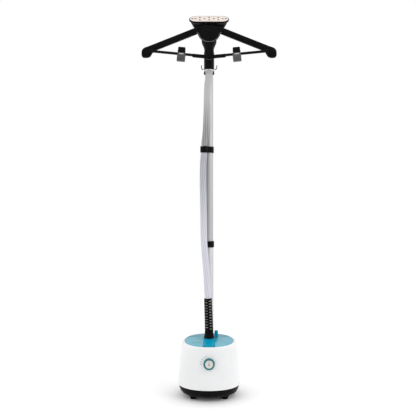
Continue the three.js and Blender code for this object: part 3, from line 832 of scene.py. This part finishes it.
def make_dial_marks():
    """Printed level marks round the dial's upper left: five dots that grow towards the full setting."""
    marks = []
    for k in range(5):
        angle = (116 + k * 17) * RAD
        x = MARK_RADIUS * math.cos(angle)
        z = KNOB_Z + MARK_RADIUS * math.sin(angle)
        y = shell_front(x, z)
        marks.append(rod_y("mark", x, z, 1.1 + 0.25 * k, y - 0.15, y + 0.4, 20, 0))
    dress(join_pieces("dial_marks", marks), "root", PRINT)


make_shell()
make_tray()
make_feet()
make_gland()
make_tank()
make_valve_spring()
make_tank_lines()
make_handle()
make_deck()
make_knob()
make_dial_marks()


# ---- hose connection
def make_nut():
    """The bayonet nut: a skirt, a ribbed tapering barrel and a rolled top."""
    rows = [
        (190.9, 11.4, 0), (190.9, 16.9, 0), (191.5, 17.8, 0), (195, 17.8, 0), (195.6, 17.2, 0),
        (196.2, 16.9, 1), (199, 16.5, 1), (209, 15.1, 1), (210.4, 14.9, 0), (211, 15.2, 0),
        (212.4, 15.1, 0), (213, 14.3, 0), (213, 11.4, 0),
    ]
    dress(ribbed_lathe("ribbed_nut", rows, HOSE_Y, 24, 0.55, 2), "nut", BLACK, "hose_nut")


LEVER_FRONT = 19.5
LEVER_BACK = 24.5


def make_lever():
    outline = [(18.8, 190.9), (31.2, 190.9), *arc(28.2, 213, 3, 0, 90, 15), *arc(21.8, 213, 3, 90, 180, 15)]
    lever = plate("lock_lever_cyan", outline, LEVER_FRONT, LEVER_BACK, edge=0.9, segments=3)
    dress(lever, "lock_lever", CYAN, "hose_lock_lever")
    ridges = []
    for z in range(201, 211, 3):
        ridges.append(block("ridge", 21.5, 28.5, LEVER_FRONT - 0.5, LEVER_FRONT + 0.4, z, z + 1.2, 0.3))
    dress(join_pieces("lever_grip_ridges", ridges), "lock_lever", CYAN)


SEAT_HALF = 20


def make_seat():
    """The fixed cyan seat round the nut's foot, with the rail the lever folds down beside."""
    ring = sleeve("seat_ring", 18.1, 20.4, 187.6, 190, HOSE_Y, edge=0.6)
    combine(ring, "DIFFERENCE", post(17, 180, 200, 0, POLE_Y))
    route = [(25, 18, 189.4), (25.3, 14, 189.3), (25.4, 10, 189.2)]
    rail = swept("seat_rail", smooth_path(route, 1), 2.1, 16)
    edge = slot_outline(SLOT_HALF - SLOT_GAP, SLOT_FRONT + SLOT_GAP, steps=48)
    edge = [point for point in edge if abs(point[0]) <= SEAT_HALF]
    pad = prism("seat_pad", [(SEAT_HALF, 17), *edge, (-SEAT_HALF, 17)], 187.4, 188.9, 0.6)
    dress(join_pieces("nut_seat", [ring, rail, pad]), "root", CYAN)


RELIEF_LEAN = -2 * RAD
RELIEF_LOW = 213.4
RELIEF_HIGH = 328.0
RELIEF_PITCH = 9.6
RELIEF_RADIUS = 13.2
RELIEF_TAPER = 1.2
RELIEF_RIPPLE = 0.25
RELIEF_ROWS = 22


def lean_relief(piece):
    """Leans a piece about the relief's foot and sets it over the nut."""
    return shift(turn(shift(piece, 0, 0, -RELIEF_LOW), RELIEF_LEAN, "Y"), 0, HOSE_Y, RELIEF_LOW + 0.5)


def in_relief_window(z, share):
    """Whether a place is in a window. share runs from 0 to 4 round the sleeve, one for each column."""
    column = int(share)
    phase = ((z - RELIEF_LOW) / RELIEF_PITCH + (0.5 if column % 2 else 0)) % 1
    within = 0.14 < share - column < 0.86 and 0.34 < phase < 0.66
    return within and RELIEF_LOW + 6 < z < RELIEF_HIGH - 4


def make_relief():
    """The slotted bend sleeve: windows in staggered columns, with a pale core showing in them."""
    sides = 96
    height = RELIEF_HIGH - RELIEF_LOW
    count = int(height / RELIEF_PITCH * RELIEF_ROWS)
    verts, faces = [], []
    for i in range(count + 1):
        z = RELIEF_LOW + height * i / count
        radius = RELIEF_RADIUS - RELIEF_TAPER * (z - RELIEF_LOW) / height
        radius += RELIEF_RIPPLE * math.cos(TURN * (z - RELIEF_LOW) / RELIEF_PITCH)
        verts += [(radius * cosine, radius * sine, z) for cosine, sine in circle(sides)]
    for i in range(count):
        z = RELIEF_LOW + height * (i + 0.5) / count
        for k in range(sides):
            if not in_relief_window(z, (k + 0.5) / sides * 4):
                low = i * sides
                high = low + sides
                k2 = (k + 1) % sides
                faces.append((low + k, low + k2, high + k2, high + k))
    skin = mesh_object("slotted_relief", verts, faces, sharp=50)
    modify(skin, "SOLIDIFY", thickness=1.5 * MM, offset=-1)
    dress(lean_relief(skin), "root", BLACK, "strain_relief")
    profile = [(9.4, 213.6), (10.6, 213.6), (10.6, 327.6), (9.4, 327.6)]
    dress(lean_relief(lathe("relief_core", profile, sides=48, closed=True)), "root", SILICONE)


# ---- pole
def make_pole():
    lower = sleeve("pole_lower_tube", 14.75, 15.5, 100, 512, POLE_Y, 96, 0.3)
    dress(lower, "root", POLE, "lower_tube")
    upper = sleeve("pole_upper_tube", 13.2, 14.3, 450, 1190, POLE_Y, 96, 0.3)
    # The upper tube takes the darker copy of the pole metal, which is painted shade.
    dress(upper, "mast_top", POLE_UPPER_SHADED, "upper_tube")


def make_collar():
    """The ribbed twist collar where the upper tube leaves the lower one."""
    rows = [
        (504, 15.9, 0), (504, 17.2, 0), (505.2, 17.8, 0), (507, 17.9, 0), (508, 17.9, 1), (522, 17.9, 1),
        (523, 17.9, 0), (524.6, 17.8, 0), (526, 17, 0), (526, 14.7, 0), (512.5, 14.7, 0), (512.5, 15.9, 0),
    ]
    dress(ribbed_lathe("grip_collar", rows, POLE_Y, 30, 0.5, 3), "collar", BLACK, "twist_collar")


HOSE_CLIP = (-16.8, 33)


def make_hose_clip():
    """A ring round the pole and a ring round the hose, merged."""
    x, y = HOSE_CLIP
    body = sleeve("clip_on_pole", 14.6, 17, 839, 861, POLE_Y, edge=0.8)
    profile = rounded_profile([(10, 839), (14.3, 839), (14.3, 861), (10, 861)], 1)
    combine(body, "UNION", lathe("clip_on_hose", profile, x, y, 72, closed=True))
    combine(body, "DIFFERENCE", post(10, 830, 870, x, y, 72), post(14.6, 830, 870, 0, POLE_Y, 72))
    body.name = "pole_hose_clip"
    dress(body, "mast_top", BLACK, "hose_clip")


# ---- hanger head
def shield_outline():
    right = bezier([(0, 1271), (28, 1270.5), (49, 1259)])
    right += bezier([(49, 1259), (50, 1249), (39, 1241.5)], 6)[1:]
    right += bezier([(39, 1241.5), (33, 1222), (18, 1212.5), (0, 1212.5)])[1:]
    left = [(-x, z) for x, z in right[1:-1]][::-1]
    return right + left


def inset(outline, centre, share):
    return [(centre[0] + (x - centre[0]) * share, centre[1] + (z - centre[1]) * share) for x, z in outline]


def make_shield():
    """The hub's front cover: a softly domed plate with a raised ridge along its lower U; the ridge's lighter
    grey is a painted highlight.
    """
    outline = shield_outline()
    centre = (0, 1243)
    rows = [(1, -18.2), (1, -20.6), (0.985, -21.7), (0.95, -22.3), (0.9, -22.5), (0.86, -22.1), (0.8, -21.9),
            (0.5, -22.4), (0.25, -22.7)]
    verts = []
    for share, y in rows:
        verts += [(x, y, z) for x, z in inset(outline, centre, share)]
    shield = mesh_object("hub_cover", verts, tube_faces(len(rows), len(outline), False, True), sharp=50)
    dress(shield, "mast_top", CHARCOAL, "hub_shield")
    lower = [p for p in inset(outline, centre, 0.93) if p[1] < 1247]
    lower.sort(key=lambda p: math.atan2(p[1] - 1262, p[0]))
    # The ridge is real relief; its lighter grey is a painted highlight.
    ridge = swept("hub_cover_ridge_highlight", smooth_path([(x, -22.4, z) for x, z in lower], 1.5), 1.5, 14)
    dress(ridge, "mast_top", CLIP_GREY_AND_HIGHLIGHT)


HUB_WALL = [(16, 1186), (16.6, 1199), (18.2, 1207), (21, 1214), (24.2, 1220.5), (25.9, 1226), (25.9, 1246)]


def make_hub():
    """The socket on the pole and the plates that carry the handle, the cover and the arms."""
    pieces = [
        sleeve("socket", 14.65, 18.2, 1118, 1197.5, POLE_Y, edge=1.2),
        sleeve("socket_band", 18, 18.8, 1119.5, 1124, POLE_Y, edge=0.3),
        sleeve("socket_band", 18, 18.8, 1186, 1190.5, POLE_Y, edge=0.3),
        plate("rear_wall", HUB_WALL + [(-x, z) for x, z in HUB_WALL[::-1]], 34, 38, 1, 3),
        block("gusset", -6, 6, 36, 66, 1190.6, 1240, 2),
    ]
    for sign in (-1, 1):
        cheek = sorted((sign * 22.9, sign * 25.9))
        lug = sorted((sign * 23.2, sign * 48))
        pieces.append(block("cheek", *cheek, -17.9, 38, 1225, 1246))
        pieces.append(block("lug", *lug, -4.1, -1.5, 1247, 1263, 0.8))
    dress(join_pieces("hanger_hub", pieces), "mast_top", CHARCOAL, "hub_frame")


def carry_over(node, finish):
    """A CAD node whose shape is right keeps it and takes the finished material."""
    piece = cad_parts[node]
    piece.data.materials.clear()
    piece.data.materials.append(finish.material)


def make_tongue():
    """The bracket below the cover that the two links hang on, with its screw head and raised lip, whose
    lighter grey is a painted highlight.
    """
    outline = [(-9.5, 1236), *arc(0, 1165, 14, 180, 360, 15), (9.5, 1236)]
    tongue = plate("hanger_tongue", outline, -17.5, -11.5, edge=1.2, segments=3)
    dress(tongue, "mast_top", CHARCOAL, "bar_bracket")
    # The lip is real relief; its lighter grey is a painted highlight.
    route = [(x, -17.6, z) for x, z in arc(0, 1165, 11, 195, 345, 10)]
    dress(swept("hanger_tongue_lip_highlight", smooth_path(route, 1.5), 1.1, 12), "mast_top", CLIP_GREY_AND_HIGHLIGHT)
    dress(rod_y("hanger_tongue_screw", 0, 1196, 3.2, -19, -17, 32, 0.8), "mast_top", BLACK)


ARM_HALF = 10.9
ARM_END = (214.5, 1186.5)
ARM_BULB = (214.5, 1179.5, 17.8)
ARM_CORNER = (222.7, 1171.3, 9.5)
ARM_ALONG = Vector((ARM_END[0] - ARM_PIVOT[0], ARM_END[1] - ARM_PIVOT[1])).normalized()
ARM_BEARING = math.atan2(ARM_ALONG.y, ARM_ALONG.x)
ARM_LENGTH = math.hypot(ARM_END[0] - ARM_PIVOT[0], ARM_END[1] - ARM_PIVOT[1])
ARM_FINS = 44
ARM_FRONT = -17.6
ARM_BACK = -4.4


def arm_outline():
    """The arm seen from the front: eye, straight beam, and a tip that turns down into a round end."""
    normal = Vector((-ARM_ALONG.y, ARM_ALONG.x))
    bearing = ARM_BEARING / RAD
    points = []
    for a in range(90, 271, 12):
        angle = (a + bearing) * RAD
        points.append((ARM_PIVOT[0] + ARM_HALF * math.cos(angle), ARM_PIVOT[1] + ARM_HALF * math.sin(angle)))
    heel = Vector(ARM_END) - ARM_ALONG * 26 - normal * ARM_HALF
    toe = arc(*ARM_BULB, 222, 222, 1)[0]
    points += bezier([tuple(heel), tuple(heel + ARM_ALONG * 8), (toe[0] - 3, toe[1] + 4), toe], 8)
    points += arc(*ARM_BULB, 230, 270, 10) + arc(*ARM_CORNER, 270, 360, 10) + arc(*ARM_BULB, 0, 60, 10)
    shoulder = Vector(ARM_END) - ARM_ALONG * 8 + normal * ARM_HALF
    points += bezier([points[-1], (ARM_BULB[0] + 4, ARM_BULB[1] + 18.6), tuple(shoulder)], 6)[1:]
    return points


def make_arm(side, sign):
    """One shoulder arm: a thick moulded plate, a stud and washer at its tip, and fine cross ribs."""
    body = plate("body", arm_outline(), ARM_FRONT, ARM_BACK, edge=2.6, segments=4)
    stud = rod_y("stud", *ARM_TIP, 3, -35.6, ARM_FRONT + 1, 24, 0.5)
    washer = rod_y("washer", *ARM_TIP, 8.4, -19.4, ARM_FRONT + 1, 48, 0.8)
    arm = mirror_x(join_pieces(f"{side}_shoulder_arm", [body, stud, washer]), sign)
    dress(arm, f"{side}_arm", CHARCOAL, f"{side}_arm")
    fins = []
    for i in range(ARM_FINS):
        reach = 14 + (ARM_LENGTH - 34) * i / (ARM_FINS - 1)
        fin = block("fin", -0.7, 0.7, ARM_FRONT - 0.5, ARM_FRONT + 0.4, -7.2, 7.2, 0.35)
        turn(fin, -ARM_BEARING, "Y")
        fins.append(shift(fin, ARM_PIVOT[0] + ARM_ALONG.x * reach, 0, ARM_PIVOT[1] + ARM_ALONG.y * reach))
    dress(mirror_x(join_pieces(f"{side}_shoulder_ribs", fins), sign), f"{side}_arm", CHARCOAL)


def make_link(side, sign):
    """The short swing link between the tongue and the trouser bar."""
    cosine, sine = math.cos(BAR_BEARING), math.sin(BAR_BEARING)
    outline = []
    for x, z in arc(0, 0, 6.2, 90, 270, 15) + arc(LINK_LENGTH, 0, 6.2, -90, 90, 15):
        outline.append((LINK_PIVOT[0] + x * cosine - z * sine, LINK_PIVOT[1] + x * sine + z * cosine))
    link = mirror_x(plate(f"{side}_swing_link", outline, -27.5, -23.5, edge=0.8, segments=3), sign)
    dress(link, f"{side}_link", CHARCOAL, f"{side}_link")
    head = mirror_x(rod_y(f"{side}_link_pin_head", *LINK_PIVOT, 4.6, -29, -27.4, 32, 0.8), sign)
    dress(head, "mast_top", BLACK, f"{side}_link_pin")


def bar_place(piece, x, z, sign):
    """From a frame along the trouser bar, +X outwards and +Z up, to its place (x, z) on that side."""
    return mirror_x(shift(turn(piece, -BAR_BEARING, "Y"), x, ROD_Y, z), sign)


def make_rod(side, sign):
    """The trouser bar: a round rod with an eye at each end."""
    count = int((BAR_LENGTH - LINK_LENGTH - 10) / 2) + 1
    bar = swept("bar", [Vector((LINK_LENGTH + 4 + i * 2, 0, 0)) for i in range(count)], 4.5, 24)
    inner = rod_y("inner_eye", LINK_LENGTH, 0, 5, -2.6, 2.6, 32, 0.7)
    outer = rod_y("outer_eye", BAR_LENGTH, 0, 7, -3, 3, 40, 0.9)
    rod = bar_place(join_pieces(f"{side}_trouser_bar", [bar, inner, outer]), *LINK_PIVOT, sign)
    dress(rod, f"{side}_rod", BLACK, f"{side}_rod", slot="charcoal_plastic")


def jaw_outline(low, high, wide, narrow):
    """A jaw from low to high, wide at its mouth and narrow at its thumb end."""
    right = [(wide - 2, low), (wide, low + 3), (wide, high - 16), (narrow, high - 9), (narrow, high - 2),
             (narrow - 2, high)]
    return right + [(-x, z) for x, z in right[::-1]]


def make_clip(side, sign):
    """One trouser clip: two grey jaws with a ribbed mouth, a black thumb pad and a steel spring pin; the
    bright pin across the front jaw doubles as a painted highlight.
    """
    back = plate("back_jaw", jaw_outline(-26, 19, 14, 11), -0.4, 3.2, edge=0.8, segments=3)
    barrel = swept("barrel", [Vector((-14 + i * 2, 0, 0)) for i in range(15)], 5.2, 28)
    back = bar_place(join_pieces(f"{side}_clip_rear_jaw", [back, barrel]), *CLIP, sign)
    dress(back, f"{side}_clip", CLIP_GREY_AND_HIGHLIGHT, f"{side}_clip_back")
    pieces = [
        plate("front_jaw", jaw_outline(-26, 12, 14, 13), -9.6, -5.8, edge=1, segments=3),
        plate("pad", [(-14, -26), (14, -26), (14, -14), (-14, -14)], -7, -1, edge=0.6),
    ]
    for low in range(-24, -15, 2):
        outline = [(-12, low), (12, low), (12, low + 0.8), (-12, low + 0.8)]
        pieces.append(plate("rib", outline, -10, -9.4, 0.2))
    front = bar_place(join_pieces(f"{side}_clip_front_jaw", pieces), *CLIP, sign)
    dress(front, f"{side}_jaw", CLIP_GREY_AND_HIGHLIGHT, f"{side}_clip_front")
    # A bright steel pin across the front jaw, for the spring and as a painted highlight across the clip.
    coil = swept(f"{side}_clip_pin_highlight", [Vector((i * 2 - 7, -8.6, -1)) for i in range(8)], 1.9, 20)
    dress(bar_place(coil, *CLIP, sign), f"{side}_jaw", BRIGHT)
    thumb = plate(f"{side}_clip_thumb", jaw_outline(3, 22, 13.4, 12.6), -10, -6, edge=1, segments=3)
    dress(bar_place(thumb, *CLIP, sign), f"{side}_jaw", BLACK)


def make_side(side, sign):
    make_arm(side, sign)
    make_link(side, sign)
    make_rod(side, sign)
    make_clip(side, sign)


make_nut()
make_lever()
make_seat()
make_relief()
make_pole()
make_collar()
make_hose_clip()
make_shield()
make_hub()
make_tongue()
for side_name, side_sign in SIDES:
    make_side(side_name, side_sign)


# ---- handset
def plate_place(piece):
    """From the steam plate's own frame (across X, along Y, facing +Z) to its tilted place."""
    return shift(turn(piece, PLATE_TILT, "X"), 0, PLATE_Y, PLATE_Z)


def stadium(across, along, steps=24):
    """Two half circles joined by straights. across and along are half its width and half its depth."""
    points = []
    for centre, start in ((across - along, -90), (along - across, 90)):
        for k in range(steps + 1):
            angle = (start + 180 * k / steps) * RAD
            points.append((centre + along * math.cos(angle), along * math.sin(angle)))
    return points


def make_steam_plate():
    """The cream steam plate, its backing and the rubber eyelets round its holes."""
    body = prism("steam_plate_cream", stadium(66.6, 24.2), -2.4, 0, 0.7, 3)
    holes = [(x, 0) for x in (-58, -47.6, -16.3, 16.3, 47.6, 58)]
    holes += [(x, y) for x in (-32, 0, 32) for y in (-10.8, 10.8)]
    combine(body, "DIFFERENCE", *[post(1.9, -4, 2, x, y, 24) for x, y in holes])
    dress(plate_place(body), "handset", CREAM, "steam_plate")
    backing = prism("steam_plate_backing", stadium(60, 18), -3.1, -2.5)
    dress(plate_place(backing), "handset", BLACK)
    profile = [(1.3, -2.4), (1.8, -2.4), (1.8, 0.1), (3.1, 0.1), (2.9, 0.5), (1.3, 0.5)]
    rings = [lathe("eyelet", profile, x, y, 24, closed=True) for x, y in holes]
    dress(plate_place(join_pieces("steam_plate_eyelets", rings)), "handset", RUBBER)


def make_head_rim():
    """The rubber rim round the steam plate. Rows are (half width, half depth, height)."""
    rows = [
        (68.6, 26.2, -6.4), (69.2, 26.8, -5.8), (69.2, 26.8, -1.2), (68.8, 26.4, -0.5), (68.2, 25.8, -0.2),
        (67.3, 24.9, -0.4), (66.9, 24.5, -1), (66.9, 24.5, -2.8), (60.6, 18.2, -2.8), (60.6, 18.2, -6.4),
    ]
    verts = [(x, y, z) for across, along, z in rows for x, y in stadium(across, along)]
    rim = mesh_object("head_rubber_rim", verts, tube_faces(len(rows), len(verts) // len(rows), True))
    dress(plate_place(rim), "handset", RUBBER, "head_rim")


HEAD_POWER = 2.5


def plate_ring(offset, across, along):
    """A ring of the head parallel to the steam plate, offset behind it."""
    y = PLATE_Y + offset * math.sin(PLATE_TILT)
    z = PLATE_Z - offset * math.cos(PLATE_TILT)
    return (z, across, along, HEAD_POWER, y, PLATE_TILT)


def make_head():
    outside = [
        (1222.6, 22, 19, HEAD_POWER, HANDLE_Y, 0), (1235, 22, 17.8, HEAD_POWER, 11, 0),
        (1248, 22.4, 17, HEAD_POWER, 12.5, 0), (1260, 40, 17.5, HEAD_POWER, 15.5, 0.25),
        (1272, 52, 19, HEAD_POWER, 18, 0.45), plate_ring(14, 63, 23), plate_ring(7.6, 66.3, 25.2),
        plate_ring(6.8, 65.9, 24.8),
    ]
    inside = [
        plate_ring(6.8, 60, 20), plate_ring(12, 57, 19), (1268, 40, 14, HEAD_POWER, 17.5, 0.4),
        (1252, 15, 12, HEAD_POWER, 13, 0), (1222.6, 12, 10, HEAD_POWER, HANDLE_Y, 0),
    ]
    rings = smooth_rows(outside, 5) + inside
    head = ring_loft("steam_head", rings, sides=128, closed=True, sharp=45)
    dress(head, "handset", HEAD, "head_shell")
    seam = ring_loft("steam_head_seam", [
        (1221.9, 21.9, 18.9, 2.4, HANDLE_Y, 0), (1222.9, 22.3, 19.3, 2.4, HANDLE_Y, 0),
        (1222.9, 14, 12, 2.4, HANDLE_Y, 0), (1221.9, 14, 12, 2.4, HANDLE_Y, 0),
    ], sides=96, closed=True)
    dress(seam, "handset", RUBBER)


def make_grip():
    outside = [
        (1123.8, 15.4, 15.4), (1124.4, 16.2, 16.2), (1126, 16.6, 16.6), (1165, 16.6, 16.6),
        (1200, 16.6, 16.6), (1206, 17.8, 17), (1212, 20.5, 18), (1218, 21.7, 18.8), (1221.8, 22, 19),
    ]
    rings = [(z, across, along, 2.2, HANDLE_Y, 0) for z, across, along in smooth_rows(outside, 4)]
    rings += [(z, 11, 11, 2, HANDLE_Y, 0) for z in (1221.8, 1123.8)]
    grip = ring_loft("handle_grip_black", rings, sides=96, closed=True, sharp=45)
    dress(grip, "handset", BLACK, "handle_grip")
    bands = []
    for z in range(1140, 1189, 6):
        profile = [(16.3, z), (16.95, z + 0.5), (16.95, z + 1.6), (16.3, z + 2.1)]
        bands.append(lathe("band", profile, 0, HANDLE_Y, 72, closed=True))
    dress(join_pieces("handle_grip_bands", bands), "handset", RUBBER)


def make_cuff():
    """The silver ring at the foot of the handle that holds the hose."""
    profile = rounded_profile(
        [(9.5, 1108.4), (12, 1108.4), (12.4, 1114), (13.6, 1122), (13.6, 1123.6), (9.5, 1123.6)]
    )
    dress(lathe("hose_cuff_satin", profile, 0, HANDLE_Y, 72, closed=True), "handset", SATIN, "hose_cuff")
    dress(sleeve("hose_cuff_silver", 13, 17.4, 1121, 1123.7, HANDLE_Y, edge=0.6), "handset", BRIGHT)


def make_hooks():
    """Two bent dark wires beside the socket that the strap loops hang on, and the caps of the arm pins."""
    route = [(20.9, POLE_Y - 6, 1136), (23.5, POLE_Y - 9, 1134), (26, POLE_Y - 12, 1136.5),
             (27.2, POLE_Y - 13, 1142), (27.4, POLE_Y - 13, 1148)]
    for side, sign in SIDES:
        wire = mirror_x(swept(f"{side}_wire_hook", smooth_path(route, 0.8), 1.6, 14), sign)
        dress(wire, "mast_top", CLIP_GREY_AND_HIGHLIGHT, f"{side}_hook", slot="black_plastic")
        pin = mirror_x(rod_y(f"{side}_arm_pin_cap", *ARM_PIVOT, 4, -18, -4.6, 32, 0.6), sign)
        dress(pin, "mast_top", BRIGHT, f"{side}_arm_pin")


make_steam_plate()
make_head_rim()
make_head()
make_grip()
make_cuff()
make_hooks()

for node_name, node_finish in (
    ("chassis", PRINT), ("boiler_pot", CAST), ("boiler_lid", CAST), ("thermostat", CREAM),
    ("steam_pipe", SILICONE), ("valve_seat", BLACK), ("rotary_switch", BLACK), ("connector_spigot", BLACK),
    ("tank_cap", BLACK), ("tank_seal", RUBBER), ("valve_plunger", PRINT), ("handle_tube", SILICONE),
):
    carry_over(node_name, node_finish)


# ---- stage and lights
ROOM_LEVEL = 0.47
ROOM_SIDES = 0.76
ROOM_RIGHT = 0.2
ROOM_TOP = 0.84
FLOOR_HALF = 6


def make_floor():
    mesh = bpy.data.meshes.new("floor")
    corners = [(-1, -1), (1, -1), (1, 1), (-1, 1)]
    mesh.from_pydata([(FLOOR_HALF * x, FLOOR_HALF * y, 0) for x, y in corners], [], [(0, 1, 2, 3)])
    mesh.materials.append(Shader("floor_paper", None, (0.91, 0.91, 0.91), 0.9, shine=0.0).material)
    add_to_scene("floor", mesh)


def make_world():
    """A white cove for the camera. The room that lights the object is dimmer, and brighter at the sides and
    above."""
    world = bpy.data.worlds.new("white_room")
    bpy.context.scene.world = world
    world.use_nodes = True
    tree = world.node_tree
    backdrop = tree.nodes["Background"]
    backdrop.inputs["Color"].default_value = (1, 1, 1, 1)
    backdrop.inputs["Strength"].default_value = 1.0
    coords = add_node(tree, "TexCoord", {})
    split = add_node(tree, "SeparateXYZ", {"Vector": coords.outputs["Generated"]})
    level = ROOM_LEVEL
    for axis, operation, gain in (
        ("X", "ABSOLUTE", ROOM_SIDES), ("X", "MAXIMUM", ROOM_RIGHT), ("Z", "MAXIMUM", ROOM_TOP),
    ):
        shape = add_node(tree, "Math", {0: split.outputs[axis], 1: 0}, operation=operation)
        terms = {0: shape.outputs["Value"], 1: gain, 2: level}
        level = add_node(tree, "Math", terms, operation="MULTIPLY_ADD").outputs["Value"]
    room = add_node(tree, "Background", {"Strength": level})
    path = add_node(tree, "LightPath", {})
    shown, lit = backdrop.outputs["Background"], room.outputs["Background"]
    mix = add_node(tree, "MixShader", {"Fac": path.outputs["Is Camera Ray"], 1: lit, 2: shown})
    tree.links.new(mix.outputs["Shader"], tree.nodes["World Output"].inputs["Surface"])
    bpy.context.scene.view_settings.view_transform = "Standard"


def area_light(name, location, target, size, power):
    data = bpy.data.lights.new(name, "AREA")
    data.shape = "RECTANGLE"
    data.size, data.size_y = size
    data.energy = power
    light = add_to_scene(name, data)
    aim(light, location, target)


make_floor()
make_world()
area_light("key_light", (1.5, -1.0, 1.6), (0, 0, 0.7), (0.5, 1.6), 5)
area_light("fill_light", (-1.8, -0.9, 1.2), (0, 0, 0.6), (0.5, 1.4), 4)
